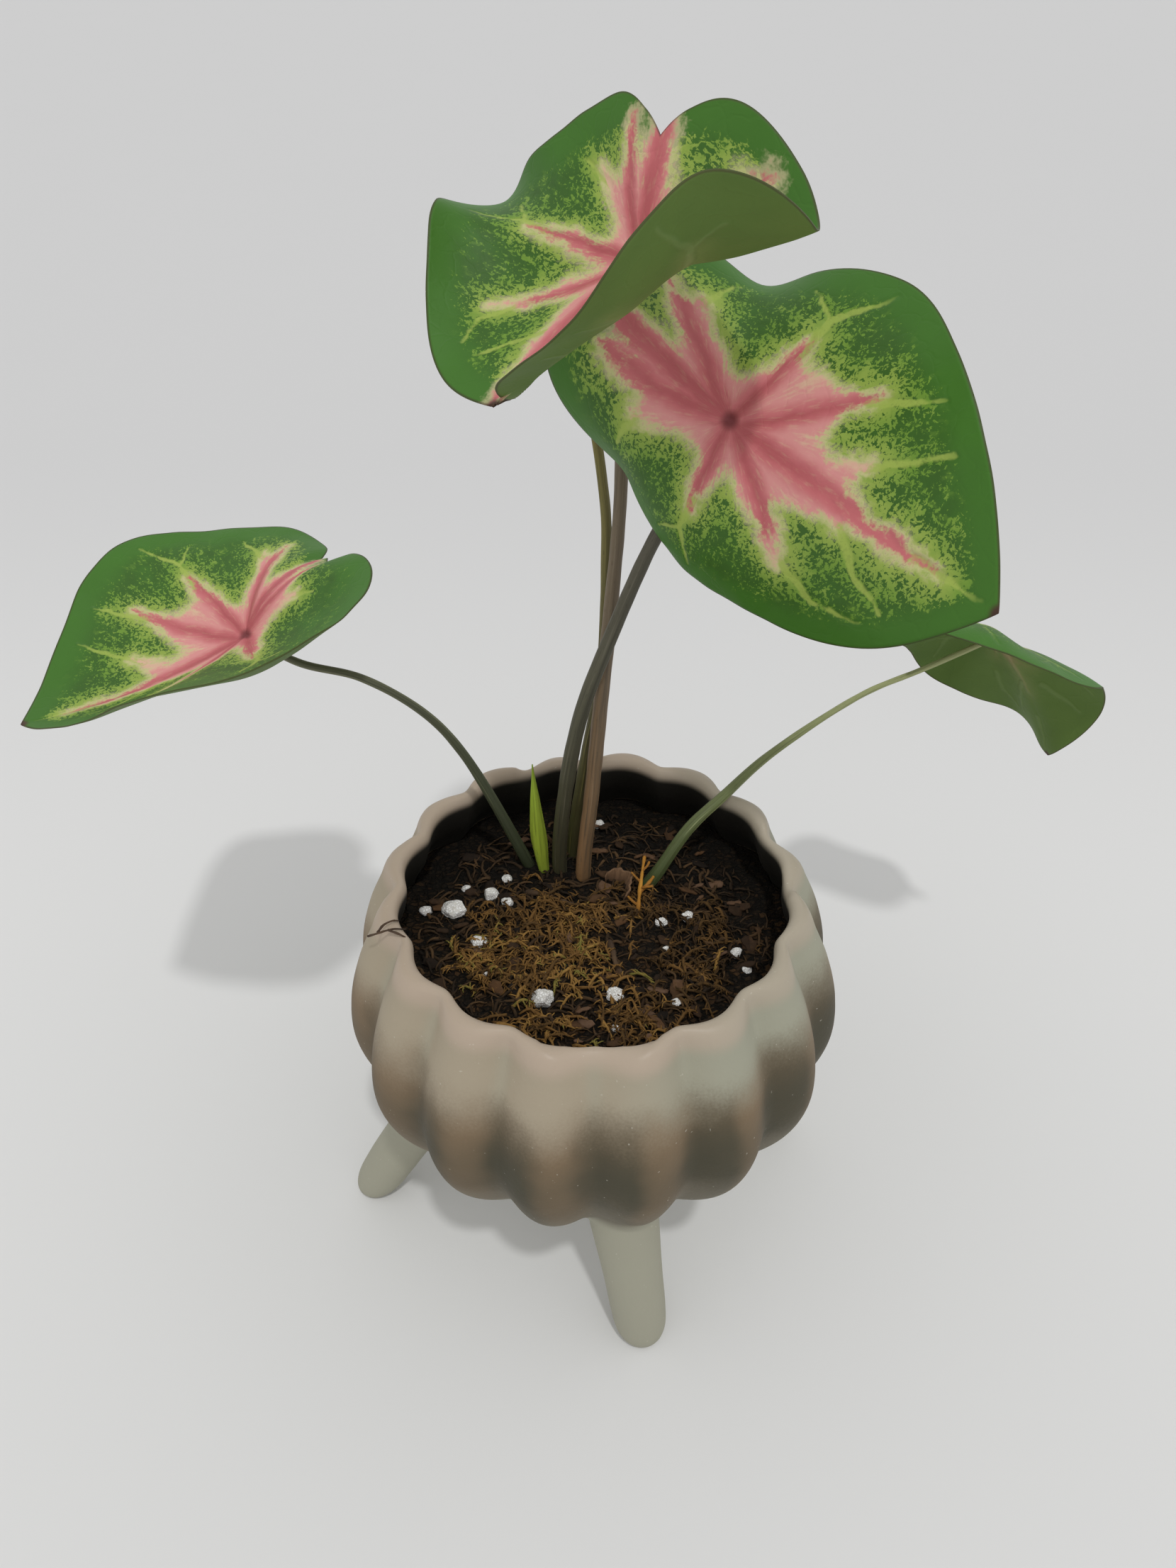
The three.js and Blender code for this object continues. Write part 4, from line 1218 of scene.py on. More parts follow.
def leaf_coat(leaf):
    """The blade's two sides, its dark margin and tip, and its sunken veins"""
    settings = bpy.context.scene.caladium_leaf
    coat = Coat(leaf["name"] + "_skin", Specular_IOR_Level=0.3)
    blade = BladeSurface(coat, leaf)
    upper = coat.stored("upper", "Fac")
    colour = coat.mix(upper, lower_colour(coat, settings, blade), upper_colour(coat, settings, blade))
    colour = coat.mix(blade.margin.rise(0.55, 0.1) * 0.6, colour, DRY_MARGIN)
    tip = (blade.flat - (0, leaf["length"] * leaf["margin"][0], 0)).length()
    colour = coat.mix(tip.rise(2.2, 0.8), colour, DRY_TIP)
    cells = coat.cells(blade.flat + coat.drift(blade.flat, 0.25, 1.5), 0.22).rise(0.09, 0.0)
    grooves = blade.vein.rise(1.6, -0.4) * 0.3 + blade.outer.rise(0.9, -0.3) * 0.16 + cells * 0.03
    relief = blade.specks * 0.02 + blade.blotches * 0.3 - grooves * (upper * 2 - 1)
    roughness = 0.6 - upper * 0.12 + blade.blotches * 0.08
    return coat.finish(colour, roughness, relief)


class CALADIUM_OT_leaves(bpy.types.Operator):
    """Builds the five blades with their star of pink veins"""

    bl_idname = "caladium.leaves"
    bl_label = "Leaf blades"

    def execute(self, context):
        thickness = context.scene.caladium_leaf.thickness
        for leaf in LEAVES:
            name = leaf["name"]
            shape = blade_shape(leaf, thickness)
            put(name.replace("leaf", "blade"), shape, leaf_coat(leaf), [name])
        return {"FINISHED"}


# Leaf stalks

STALK_SIDES = 28
STALK_STEP = 1.2
PRESS_REACH = 14  # how far from the foot of a blade its stalk is kept below it
MEASURING_STEPS = 400

STALKS = [
    {
        "name": "petiole_top",
        "leaf": "leaf_top",
        "radii": [2, 1.85, 1.5, 1.25],
        "route": [
            [-2, 21, 80], [-2.6, 20, 100], [-0.4, 23.5, 123.7], [1.7, 28, 148], [4, 34, 172],
            [6.1, 42, 200.5], [5, 42, 222], [2, 34, 238], [-0.5, 24, 246.5],
        ],
        "colours": [paint(146, 108, 68), paint(122, 106, 84), paint(110, 102, 86)],
        "slot": "petiole_brown",
    },
    {
        "name": "petiole_front",
        "leaf": "leaf_front",
        "radii": [2, 1.9, 1.65, 1.35],
        "route": [
            [-6, 22, 80], [-8.9, 22, 98], [-6.6, 21.2, 130], [-2.6, 23.6, 150.8], [2.4, 26, 165.2],
            [13.7, 30.3, 193.2], [19.8, 30.2, 204], [24.1, 26, 214.8],
        ],
        "colours": [paint(66, 64, 38), paint(82, 80, 62), paint(98, 92, 80)],
        "slot": "petiole_dark",
    },
    {
        "name": "petiole_left",
        "leaf": "leaf_left",
        "radii": [1.8, 1.35, 1, 0.95],
        "route": [
            [-13, 27, 82], [-17.4, 24.6, 97.5], [-33.5, 30, 132], [-42.5, 31, 144], [-57, 33, 153],
            [-72, 34.5, 156.5],
        ],
        "colours": [paint(42, 54, 30), paint(80, 85, 60), paint(112, 111, 84)],
        "slot": "petiole_dark",
    },
    {
        "name": "petiole_right",
        "leaf": "leaf_right",
        "radii": [2, 1.4, 0.85, 0.8],
        "route": [
            [4, 20, 80], [15, 17.5, 97.5], [25.3, 23.3, 112], [34, 29.5, 117.2], [47.7, 43.5, 120],
            [75.2, 61.5, 127.2], [93, 69.5, 130],
        ],
        "colours": [paint(52, 70, 34), paint(108, 116, 70), paint(172, 176, 126)],
        "slot": "petiole_green",
    },
    {
        "name": "petiole_back",
        "leaf": "leaf_back",
        "radii": [1.9, 1.6, 1.25, 1.1],
        "route": [
            [-4, 26, 80], [-5.5, 27.5, 97], [-1.6, 31, 131], [1.9, 36, 149.7], [2.9, 40, 176],
            [2.4, 46, 195], [-3.6, 54, 220],
        ],
        "colours": [paint(60, 62, 34), paint(96, 90, 54), paint(140, 130, 66)],
        "slot": "petiole_green",
    },
]


STRAND_STOPS = 0.02, 0.45, 0.95  # where the three colours of a strand lie along it
STALK_KNOBS = 6, 0.06  # length of the swellings on a stalk, and how much they widen it, as a share


def strand_coat(name, colours, length, roughness=0.5):
    """Long fine streaks of three colours, from the foot of a strand to its top"""
    coat = Coat(name, Specular_IOR_Level=0.4)
    strand = coat.stored("strand")
    run = strand.part("Z") / length
    streaks = coat.grain(strand * (2.2, 2.2, 0.035), 1.0, 3.0, 0.6)
    flecks = coat.grain(strand * (3.0, 3.0, 0.6), 1.0, 2.0)
    stops = list(zip(STRAND_STOPS, colours))
    colour = coat.ramp(run + (streaks - 0.5) * 0.3, stops)
    dark = tuple(channel * 0.4 for channel in colours[1])
    pale = tuple(min(1, channel * 1.5 + 0.02) for channel in colours[2])
    stripe = strand.part("X") * -0.8 + strand.part("Y") * -0.6 + (streaks - 0.5) * 1.4
    colour = coat.mix(stripe.rise(0.4, 0.95) * 0.45, colour, dark)
    colour = coat.mix(streaks.rise(0.52, 0.66) * 0.6, colour, dark)
    colour = coat.mix(streaks.rise(0.44, 0.3) * 0.35, colour, pale)
    colour = coat.mix(flecks.rise(0.62, 0.7) * 0.3, colour, dark)
    return coat.finish(colour, roughness + flecks * 0.15, streaks * 0.22 + flecks * 0.05)


def press_below(points, leaf, clearance):
    """Keeps the points near the foot of a blade below its underside"""
    grid, _, _ = blade_grid(leaf)
    normals = blade_normals(grid)
    near = np.linalg.norm(grid - leaf["foot"], axis=-1) < PRESS_REACH
    surface, directions = grid[near], normals[near]
    for index in np.flatnonzero(np.linalg.norm(points - leaf["foot"], axis=-1) < PRESS_REACH):
        closest = np.argmin(np.linalg.norm(surface - points[index], axis=1))
        above = (points[index] - surface[closest]) @ directions[closest] + clearance
        if above > 0:
            points[index] -= directions[closest] * above
    return points


class CALADIUM_OT_stalks(bpy.types.Operator):
    """Builds the stalks that carry the blades"""

    bl_idname = "caladium.stalks"
    bl_label = "Stalks"

    def execute(self, context):
        clearance = context.scene.caladium_leaf.thickness / 2
        for stalk in STALKS:
            name = stalk["name"]
            leaf = next(one for one in LEAVES if one["name"] == stalk["leaf"])
            route = np.array([*stalk["route"], leaf["foot"]], float)
            length = length_of(even_curve(route, MEASURING_STEPS))
            way = even_curve(route, round(length / STALK_STEP))
            radii = uniform_curve(stalk["radii"], np.linspace(0, 1, len(way)))
            radii *= 1 + bumpy(way, *STALK_KNOBS)
            shape = Shape()
            add_bar(shape, way, radii, STALK_SIDES)
            press_below(shape.points[0], leaf, clearance)
            material = strand_coat(name + "_skin", stalk["colours"], length)
            put(name.replace("petiole", "stalk"), shape, material, [name])
        return {"FINISHED"}


# Rolled new leaf

SHOOT_ROUTE = [[-9, 18, 82], [-13, 21.6, 97], [-14.2, 22, 110], [-14.8, 22, 122], [-15.2, 22, 134.5]]
SHOOT_RADII = [0.8, 1.05, 1.85, 1.2, 0.15]
SHOOT_ROWS = 70
SHOOT_SIDES = 72
SHOOT_OVERLAP = 0.22  # how far the free edge of the roll stands out, as a share of the radius
SHOOT_TWIST = 0.4333  # turns that the free edge makes from the foot of the roll to its tip
SHOOT_COLOURS = [paint(112, 138, 52), paint(176, 196, 66), paint(150, 176, 56)]


class CALADIUM_OT_shoot(bpy.types.Operator):
    """Builds the rolled new leaf beside the stalks"""

    bl_idname = "caladium.shoot"
    bl_label = "Rolled leaf"

    def execute(self, context):
        way = even_curve(SHOOT_ROUTE, SHOOT_ROWS)
        radii = uniform_curve(SHOOT_RADII, np.linspace(0, 1, SHOOT_ROWS))
        around = np.arange(SHOOT_SIDES) / SHOOT_SIDES
        edge = np.linspace(0, SHOOT_TWIST, SHOOT_ROWS)[:, None]
        shape = Shape()
        add_bar(shape, way, radii, SHOOT_SIDES, 1 + SHOOT_OVERLAP * ((around - edge) % 1))
        material = strand_coat("new_leaf_skin", SHOOT_COLOURS, length_of(way), roughness=0.45)
        put("new_leaf", shape, material, ["shoot"])
        return {"FINISHED"}


# White grains

GRAIN_CUTS = 5  # in each edge of the grain's solid
GRAIN_FACES = 9
GRAIN_FACE_DEPTHS = 0.7, 0.9  # how far out a face is cut, as a share of the grain's reach there
GRAIN_KNOBS = 1.1, 0.08  # size and height of the knobs on a grain, the height as a share of its radius
GRAIN_SEED = 3
WELD = 0.01
# Painted shade: grey in the fine pits of a grain, along the edges of its cells
GRAIN_PIT_SHADE = paint(222, 219, 212)
GRAIN_WHITE = paint(251, 250, 248)
GRAIN_STAIN = paint(184, 170, 146)


def broken(points, rng):
    """Cuts flat faces on a grain, as if it had been broken from a larger one"""
    middle = points.mean(0)
    gap = points - middle
    for _ in range(GRAIN_FACES):
        direction = rng.normal(size=3)
        direction /= np.linalg.norm(direction)
        reach = gap @ direction
        limit = reach.max() * rng.uniform(*GRAIN_FACE_DEPTHS)
        gap -= np.maximum(reach - limit, 0)[:, None] * direction
    return middle + gap


def grain_mesh(name, rng):
    """A finer mesh of one grain, broken and knobbly"""
    form = bmesh.new()
    form.from_mesh(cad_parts[name].data)
    bmesh.ops.remove_doubles(form, verts=form.verts, dist=WELD * MM)
    bmesh.ops.subdivide_edges(form, edges=form.edges, cuts=GRAIN_CUTS, use_grid_fill=True, smooth=0.3)
    mesh = bpy.data.meshes.new(name)
    form.to_mesh(mesh)
    form.free()
    points = broken(corners(mesh) / MM, rng)
    points += bumpy(points, *GRAIN_KNOBS)[:, None] * (points - points.mean(0))
    mesh.vertices.foreach_set("co", (points * MM).ravel())
    mesh.update()
    mesh.shade_smooth()
    return mesh


def grain_coat():
    """White foamed glass with fine pits, painted grey as shade, and a few stains from the mix"""
    coat = Coat("perlite_grain", Specular_IOR_Level=0.3)
    place = coat.place()
    pits = coat.cells(place, 1.5).rise(0.0, 0.25)
    stain = coat.grain(place, 0.35, 3.0)
    colour = coat.mix(pits, GRAIN_PIT_SHADE, GRAIN_WHITE)
    colour = coat.mix(stain.rise(0.64, 0.8) * 0.25, colour, GRAIN_STAIN)
    return coat.finish(colour, 0.85, pits * 0.12 + coat.grain(place, 1.6, 2.0) * 0.1)


class CALADIUM_OT_grains(bpy.types.Operator):
    """Builds the white grains that lie on the mix"""

    bl_idname = "caladium.grains"
    bl_label = "White grains"

    def execute(self, context):
        material = grain_coat()
        names = sorted(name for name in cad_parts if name.startswith("perlite"))
        if not names:
            raise RuntimeError("the packed model has no white grains")
        rng = np.random.default_rng(GRAIN_SEED)
        for name in names:
            grain = bpy.data.objects.new(name.replace("perlite", "grain"), grain_mesh(name, rng))
            dress(grain, material, [name])
        return {"FINISHED"}


# Litter that is a node of its own

TWIGS = {
    "twig_1": (0.8, [[-17.6, 13.8, 0.3], [-14, 12.4, 0.7], [-8, 10, 0.6], [-2.4, 7.6, 0.3]]),
    "twig_2": (0.9, [[4, -3, 0.2], [5, -7, 0.8], [5.6, -11, 0.7], [7.2, -15, 0.2]]),
    "twig_3": (0.7, [[10.4, -23.6, 0.3], [13.6, -27.4, 0.7], [17.4, -30.6, 0.2]]),
}
TWIG_SIDES = 20
TWIG_STEP = 0.4
BARK_COLOURS = [paint(62, 46, 32), paint(96, 74, 52), paint(70, 52, 38)]
ROOT_ROUTES = [
    [[11.4, 5.4, -1], [11.9, 9, 3], [12.4, 12.4, 5.4], [12.9, 16, 6.4], [13.6, 20.6, 7]],
    [[12.1, 10.2, 4], [14.4, 12.4, 5.2], [15.8, 15.4, 5]],
]
ROOTLETS = [
    [[12.4, 12.4, 5.4], [11, 13.4, 6.4], [10, 14.8, 6.6]],
    [[12.9, 16, 6.4], [14.2, 17.4, 7], [14.8, 19.2, 6.6]],
    [[11.7, 7.6, 1.6], [10.2, 8.2, 2.6], [9, 9.6, 2.8]],
    [[12.2, 11, 4.4], [13.6, 10.4, 5.6], [15.4, 10.6, 5.8]],
]
ROOT_RADIUS = 0.55
ROOTLET_SHARE = 0.6  # the radius of a rootlet as a share of the root's
ROOT_STEPS = 40
ROOT_SIDES = 14
ROOT_COLOURS = [paint(150, 96, 30), paint(198, 140, 46), paint(176, 118, 36)]
SHEATH_FOOT = [4.6, 13]
SHEATH_RADIUS = 4.4
SHEATH_FACING = 35
SHEATH_BEND = 150
SHEATH_DEPTH = 2
SHEATH_HEIGHT = 4.5
SHEATH_LEAN = 1.2
SHEATH_THICKNESS = 0.5
SHEATH_TATTERS = 4.5, 1.3  # how many there are along the top edge, and how high they are
SHEATH_ROUNDING = 0.7  # how much the top edge drops to its ends
# Creases that run up the sheath: their number, how much they slant, and their depth
SHEATH_CREASES = (46, 0, 0.16), (17, 3, 0.25)
SHEATH_COLUMNS = 64
SHEATH_ROWS = 20
SHEATH_COLOURS = [paint(92, 68, 46), paint(126, 96, 70), paint(104, 78, 54)]
DRY_ROOTS = [
    [[-53.3, -15.8, 113.2], [-51.1, -17.1, 115.4], [-47.2, -16.5, 116.4], [-44.4, -14.5, 114.2]],
    [[-50.6, -17, 115.8], [-49.4, -15, 116.2], [-47.6, -13.7, 116.2], [-46.4, -11.6, 114]],
    [[-48.2, -16.7, 116.4], [-45.3, -17.6, 115.8], [-43.1, -17.2, 113.2]],
]
DRY_ROOT_RADIUS = 0.3
DRY_ROOT_SIDES = 12
DRY_ROOT_COLOURS = [paint(74, 58, 46), paint(92, 72, 56), paint(60, 46, 36)]
LITTER_KNOBS = 1.4, 0.4  # length of the knobs on twigs and roots, and their height as a share of the radius


def rough_bar(shape, way, radius, sides, seed, taper=0.75):
    """Adds a knobbly bar that thins to a share of its radius"""
    radii = np.linspace(radius, radius * taper, len(way)) * (1 + bumpy(way, *LITTER_KNOBS, seed))
    add_bar(shape, way, radii, sides)


def sheath_shape():
    """A curved dry strip with a ragged top edge, standing in the mix"""
    foot = np.array([*SHEATH_FOOT, float(soil_height(*SHEATH_FOOT))])
    share = np.linspace(-0.5, 0.5, SHEATH_COLUMNS)
    turn = np.radians(SHEATH_FACING + SHEATH_BEND * share)
    number, height = SHEATH_TATTERS
    ragged = np.array([noise.noise(Vector((number * s, 0, 2.0))) * height for s in share])
    top = SHEATH_HEIGHT * np.cos(math.pi * share * SHEATH_ROUNDING) + ragged
    rows = np.linspace(0, 1, SHEATH_ROWS)[:, None]
    rise = -SHEATH_DEPTH + rows * (top + SHEATH_DEPTH)
    lean = SHEATH_LEAN * np.clip(rise / SHEATH_HEIGHT, 0, 1.4) ** 1.5
    creases = sum(np.sin(share * bends + rows * slant) * depth for bends, slant, depth in SHEATH_CREASES)
    sheets = []
    for offset in (-SHEATH_THICKNESS / 2, SHEATH_THICKNESS / 2):
        reach = SHEATH_RADIUS + lean + creases + offset
        sheets.append(np.stack([reach * np.cos(turn), reach * np.sin(turn), rise + 0 * turn], -1))
    inner, outer = (sheet + foot for sheet in sheets)
    rings = np.concatenate([inner, outer[:, ::-1]], 1)
    points = rings.reshape(-1, 3)
    count = rings.shape[1]
    last = (SHEATH_ROWS - 1) * count
    faces = [panel(low, low + count, i, count) for low in range(0, last, count) for i in range(count)]
    for i in range(SHEATH_COLUMNS - 1):
        faces.append((i, count - 1 - i, count - 2 - i, i + 1))
        faces.append((last + i, last + i + 1, last + count - 2 - i, last + count - 1 - i))
    shape = Shape()
    shape.add(points, faces, strand=points - foot)
    return shape


class CALADIUM_OT_litter(bpy.types.Operator):
    """Builds the twigs, the dry sheath, the bright root and the dry root that hangs over the lip"""

    bl_idname = "caladium.litter"
    bl_label = "Litter"

    def execute(self, context):
        self.twigs()
        paper = strand_coat("dry_paper", SHEATH_COLOURS, length=8, roughness=0.85)
        put("sheath", sheath_shape(), paper, ["dead_sheath"])
        self.bright_root()
        self.dry_root()
        return {"FINISHED"}

    def twigs(self):
        bark = strand_coat("twig_bark", BARK_COLOURS, length=16, roughness=0.85)
        for seed, (name, (radius, route)) in enumerate(TWIGS.items()):
            route = on_soil(route)
            way = even_curve(route, round(length_of(route) / TWIG_STEP))
            shape = Shape()
            rough_bar(shape, way, radius, TWIG_SIDES, seed)
            put("broken_" + name, shape, bark, [name])

    def bright_root(self):
        shape = Shape()
        for seed, route in enumerate(ROOT_ROUTES + ROOTLETS):
            radius = ROOT_RADIUS if route in ROOT_ROUTES else ROOT_RADIUS * ROOTLET_SHARE
            rough_bar(shape, even_curve(on_soil(route), ROOT_STEPS), radius, ROOT_SIDES, seed)
        material = strand_coat("root_skin", ROOT_COLOURS, length=20, roughness=0.6)
        put("bright_root", shape, material, ["root_sprig"])

    def dry_root(self):
        shape = Shape()
        for seed, route in enumerate(DRY_ROOTS):
            way = even_curve(route, ROOT_STEPS)
            rough_bar(shape, way, DRY_ROOT_RADIUS, DRY_ROOT_SIDES, seed, taper=0.5)
        put("dry_root", shape, strand_coat("dry_root_skin", DRY_ROOT_COLOURS, length=10, roughness=0.85))


# Moss, coir and bark on the mix

SEED = 8
FIBRE_SIDES = 4
FIBRE_STEPS = 9
FIBRE_REACH = 46
FIBRE_CURL = 0.2
FIBRE_WOBBLE = 0.15
FIBRE_TAPER = 0.45
# Clumps of moss: their places, and their tones from brown to gold
MOSS_CLUMPS = [
    (-12, 6, 0.55),
    (-7, -6, 0.75),
    (-21, 1, 0.45),
    (-26, -8, 0.8),
    (-1, -1, 0.6),
    (-17, -13, 0.5),
    (-3, -15, 0.75),
    (12, 10, 0.3),
    (22, -14, 0.35),
    (10, -28, 0.5),
    (-14, -31, 0.7),
    (30, 2, 0.25),
]
MOSS_SPREAD = 4.6
MOSS_LENGTHS = 4, 10
MOSS_LIFTS = 0.5, 2.4
MOSS_RADII = 0.32, 0.62
MOSS_TONE_SPREAD = 0.16
BRANCH_LENGTHS = 1.2, 2.8
BRANCH_LIFTS = 0.1, 0.6
BRANCH_RADIUS = 0.26
BRANCH_SUNK = 0.2  # how deep a branch starts in its strand
BRANCH_TONE_SPREAD = 0.08
MOSS_COLOURS = [
    (0.0, paint(48, 34, 18)),
    (0.35, paint(82, 60, 31)),
    (0.65, paint(118, 86, 44)),
    (0.9, paint(156, 119, 62)),
    (1.0, paint(122, 114, 54)),
]
COIR_LENGTHS = 2.5, 9
COIR_LIFTS = 0.2, 1.2
COIR_RADII = 0.2, 0.6
COIR_COLOURS = [
    (0.0, paint(28, 22, 15)),
    (0.45, paint(58, 43, 27)),
    (0.8, paint(88, 66, 42)),
    (1.0, paint(44, 34, 22)),
]
CHIPS = 110
CHIP_REACH = 43
CHIP_SIZES = 0.9, 2.6
CHIP_SIDES = 10
CHIP_WIDTH = 0.7  # the width of a chip as a share of its length
CHIP_BULGE = 0.4
CHIP_CROOKEDNESS = 0.16
CHIP_TILT = 0.5
CHIP_HEIGHT = 0.7  # how high the middle of a chip lies above the mix
# Each ring of a chip: its share of the outline, and its height
CHIP_RINGS = (0.5, -0.35), (0.96, -0.3), (1.0, 0.0), (0.94, 0.3), (0.5, 0.42)
CHIP_COLOURS = [
    (0.0, paint(24, 18, 12)),
    (0.5, paint(56, 40, 26)),
    (0.8, paint(88, 62, 38)),
    (1.0, paint(104, 80, 62)),
]


def wander(rng, x, y, length, lift):
    """A short crooked route that rises from the mix and comes back to it"""
    heading = rng.uniform(0, math.tau)
    steps = []
    for k in range(FIBRE_STEPS):
        share = k / (FIBRE_STEPS - 1)
        arch = lift * math.sin(math.pi * share)
        rise = FIBRE_WOBBLE + arch + rng.uniform(-FIBRE_WOBBLE, FIBRE_WOBBLE)
        steps.append([x, y, rise])
        heading += rng.normal(0, FIBRE_CURL)
        x += math.cos(heading) * length / FIBRE_STEPS
        y += math.sin(heading) * length / FIBRE_STEPS
    return np.array(steps)


def add_fibre(shape, route, radius, tone):
    """Adds a fibre unless it would reach the pot's wall, and says whether it did"""
    inside = np.linalg.norm(route[:, :2], axis=1).max() < FIBRE_REACH
    if inside:
        way = on_soil(route)
        radii = np.linspace(radius, radius * FIBRE_TAPER, len(way))
        points, faces = skin(bar_rings(way, radii, FIBRE_SIDES))
        shape.add(points, faces, tone=tone)
    return inside


def somewhere(rng, reach):
    """A place within reach of the pot's axis, with all places equally likely"""
    turn, distance = rng.uniform(0, math.tau), reach * math.sqrt(rng.uniform(0, 1))
    return distance * math.cos(turn), distance * math.sin(turn)


def chip_outline(rng, size, around):
    """The reach of a crooked chip in each direction"""
    bulge = CHIP_BULGE * np.sin(2 * around + rng.uniform(0, 6))
    return size * (1 + bulge + rng.normal(0, CHIP_CROOKEDNESS, CHIP_SIDES))


def fibre_coat(name, stops):
    """The colour of a fibre or chip follows its own tone"""
    coat = Coat(name, Specular_IOR_Level=0.25)
    place = coat.place()
    mottle = coat.grain(place, 0.9, 3.0)
    colour = coat.ramp(coat.stored("tone", "Fac") + (mottle - 0.5) * 0.3, stops)
    return coat.finish(colour, 0.88, mottle * 0.3)


class CALADIUM_OT_cover(bpy.types.Operator):
    """Scatters moss, coir and bark over the mix"""

    bl_idname = "caladium.cover"
    bl_label = "Moss and fibres"

    def execute(self, context):
        rng = np.random.default_rng(SEED)
        count = context.scene.caladium_soil.fibres
        self.moss(rng, count // 2)
        self.coir(rng, count)
        self.chips(rng)
        return {"FINISHED"}

    def moss(self, rng, count):
        """Branched strands in clumps"""
        shape = Shape()
        for _ in range(count):
            across, along, tone = MOSS_CLUMPS[rng.integers(len(MOSS_CLUMPS))]
            x, y = np.array([across, along]) + rng.normal(0, MOSS_SPREAD, 2)
            tone = np.clip(tone + rng.normal(0, MOSS_TONE_SPREAD), 0, 1)
            route = wander(rng, x, y, rng.uniform(*MOSS_LENGTHS), rng.uniform(*MOSS_LIFTS))
            if not add_fibre(shape, route, rng.uniform(*MOSS_RADII), tone):
                continue
            for x, y, height in route[1:-1]:
                branch = wander(rng, x, y, rng.uniform(*BRANCH_LENGTHS), rng.uniform(*BRANCH_LIFTS))
                branch[:, 2] += height - BRANCH_SUNK
                branch_tone = np.clip(tone + rng.normal(0, BRANCH_TONE_SPREAD), 0, 1)
                add_fibre(shape, branch[::2], BRANCH_RADIUS, branch_tone)
        put("moss", shape, fibre_coat("golden_moss", MOSS_COLOURS))

    def coir(self, rng, count):
        """Plain strands all over the mix"""
        shape = Shape()
        for _ in range(count):
            x, y = somewhere(rng, FIBRE_REACH)
            route = wander(rng, x, y, rng.uniform(*COIR_LENGTHS), rng.uniform(*COIR_LIFTS))
            add_fibre(shape, route, rng.uniform(*COIR_RADII), rng.uniform(0, 1))
        put("coir", shape, fibre_coat("coir_fibre", COIR_COLOURS))

    def chips(self, rng):
        """Small crooked flakes of bark"""
        shape = Shape()
        around = bearings(CHIP_SIDES)
        for _ in range(CHIPS):
            x, y = somewhere(rng, CHIP_REACH)
            outline = chip_outline(rng, rng.uniform(*CHIP_SIZES), around)
            tilt = rng.uniform(-CHIP_TILT, CHIP_TILT, 2)
            rings = []
            for share, lift in CHIP_RINGS:
                across = outline * share * np.cos(around)
                along = outline * share * CHIP_WIDTH * np.sin(around)
                rings.append(np.stack([across, along, lift + across * tilt[0] + along * tilt[1]], -1))
            base = np.array([x, y, float(soil_height(x, y)) + CHIP_HEIGHT])
            points, faces = skin(np.array(rings) + base)
            shape.add(points, faces, tone=rng.uniform(0, 1))
        put("bark_chips", shape, fibre_coat("bark", CHIP_COLOURS))


# Stage

CAMERA_PLACE = (-1.35, -203.34, 321.41)
CAMERA_DIP = 40.62
FOCAL_PIXELS = 1660
PHOTO_HEIGHT = 2212
SENSOR = 36
FLOOR_REACH = 12  # metres
FLOOR_SHADE_DISTANCES = 50, 500  # painted shade: between these distances behind the pot the floor darkens, standing in for the light's falloff
KEY_DIRECTION = (0.12, -0.4, 1)
KEY_ANGLE = 3


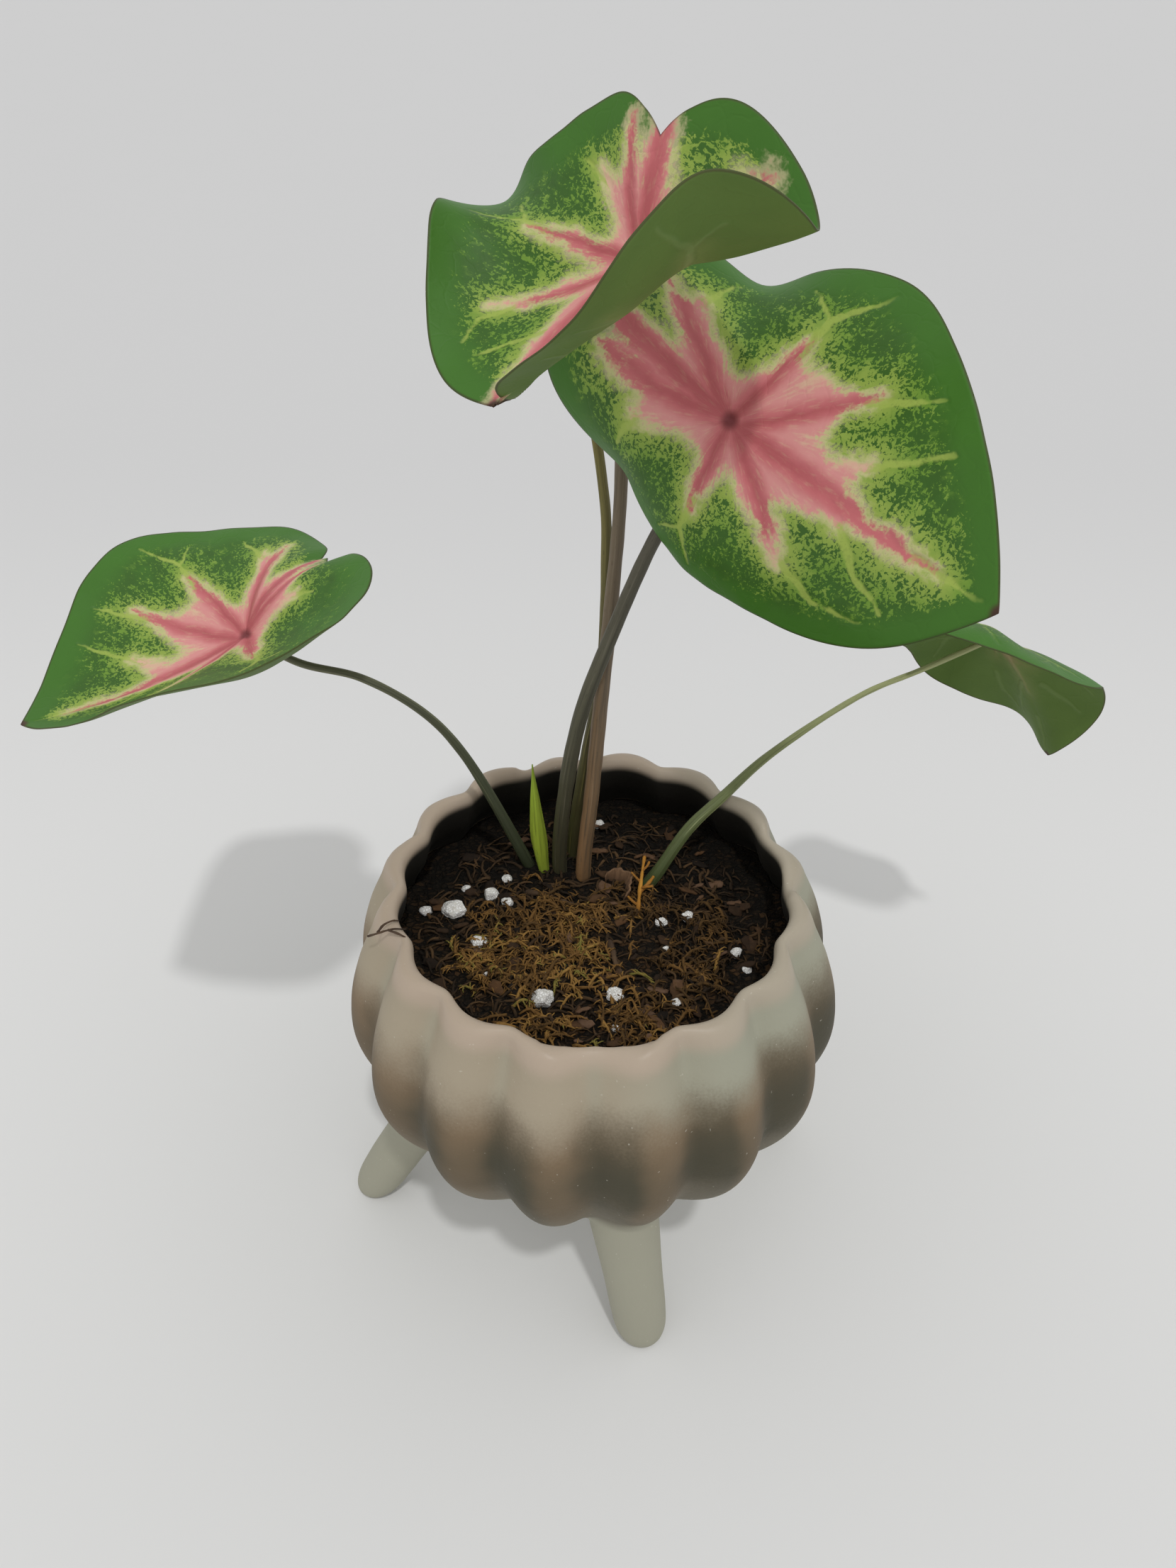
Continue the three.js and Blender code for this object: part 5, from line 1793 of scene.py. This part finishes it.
class CALADIUM_OT_stage(bpy.types.Operator):
    """Sets up the camera, the light and the floor"""

    bl_idname = "caladium.stage"
    bl_label = "Stage"

    def execute(self, context):
        scene = context.scene
        scene.view_settings.view_transform = "Standard"
        scene.camera = self.camera()
        scene.collection.objects.link(scene.camera)
        scene.collection.objects.link(self.key_light(scene.caladium_stage))
        scene.world = self.studio(scene.caladium_stage)
        floor = self.floor(scene.caladium_stage)
        scene.collection.objects.link(floor)
        return {"FINISHED"}

    def camera(self):
        lens = bpy.data.cameras.new("camera")
        lens.sensor_width = SENSOR
        lens.lens = SENSOR * FOCAL_PIXELS / PHOTO_HEIGHT
        lens.clip_start = 0.01
        camera = bpy.data.objects.new("camera", lens)
        camera.location = in_frame(CAMERA_PLACE)
        camera.rotation_euler = (math.radians(90 - CAMERA_DIP), 0, 0)
        return camera

    def key_light(self, settings):
        sun = bpy.data.lights.new("key", "SUN")
        sun.energy = settings.key
        sun.angle = math.radians(KEY_ANGLE)
        key = bpy.data.objects.new("key", sun)
        key.rotation_euler = Vector(KEY_DIRECTION).to_track_quat("Z", "Y").to_euler()
        return key

    def studio(self, settings):
        """White light from all round"""
        world = bpy.data.worlds.new("studio")
        world.use_nodes = True
        background = world.node_tree.nodes["Background"]
        background.inputs["Color"].default_value = (1, 1, 1, 1)
        background.inputs["Strength"].default_value = settings.fill
        return world

    def floor(self, settings):
        mesh = bpy.data.meshes.new("floor")
        ends = -FLOOR_REACH, FLOOR_REACH
        mesh.from_pydata([(x, y, 0) for y in ends for x in ends], [], [(0, 1, 3, 2)])
        coat = Coat("floor_paint", Specular_IOR_Level=0.2)
        place = coat.place()
        mottle = coat.grain(place, 0.01, 3.0)
        # Painted shade darkens the floor behind the pot
        far = place.part("Y").rise(*FLOOR_SHADE_DISTANCES)
        colour = coat.mix(far * 0.95 + mottle * 0.05, settings.floor, settings.shaded_far_floor)
        mesh.materials.append(coat.finish(colour, 0.7, mottle * 0.1))
        return bpy.data.objects.new("floor", mesh)


class CALADIUM_PT_panel(bpy.types.Panel):
    """Lists the pieces of the plant and their settings"""

    bl_idname = "CALADIUM_PT_panel"
    bl_label = "Potted caladium"
    bl_space_type = "VIEW_3D"
    bl_region_type = "UI"
    bl_category = "Caladium"

    def draw(self, context):
        for operator in OPERATORS:
            self.layout.operator(operator.bl_idname)
        for name, group in SETTINGS.items():
            box = self.layout.box()
            for setting in group.__annotations__:
                box.prop(getattr(context.scene, name), setting)


OPERATORS = [
    CALADIUM_OT_stage,
    CALADIUM_OT_pot,
    CALADIUM_OT_soil,
    CALADIUM_OT_tuber,
    CALADIUM_OT_leaves,
    CALADIUM_OT_stalks,
    CALADIUM_OT_shoot,
    CALADIUM_OT_grains,
    CALADIUM_OT_litter,
    CALADIUM_OT_cover,
]


def register():
    for kind in (*SETTINGS.values(), *OPERATORS, CALADIUM_PT_panel):
        bpy.utils.register_class(kind)
    for name, group in SETTINGS.items():
        setattr(bpy.types.Scene, name, PointerProperty(type=group))


def unregister():
    for name in SETTINGS:
        delattr(bpy.types.Scene, name)
    for kind in (CALADIUM_PT_panel, *reversed(OPERATORS), *SETTINGS.values()):
        bpy.utils.unregister_class(kind)


def main():
    register()
    for operator in OPERATORS:
        getattr(bpy.ops.caladium, operator.bl_idname.split(".")[1])()


if __name__ == "__main__":
    main()
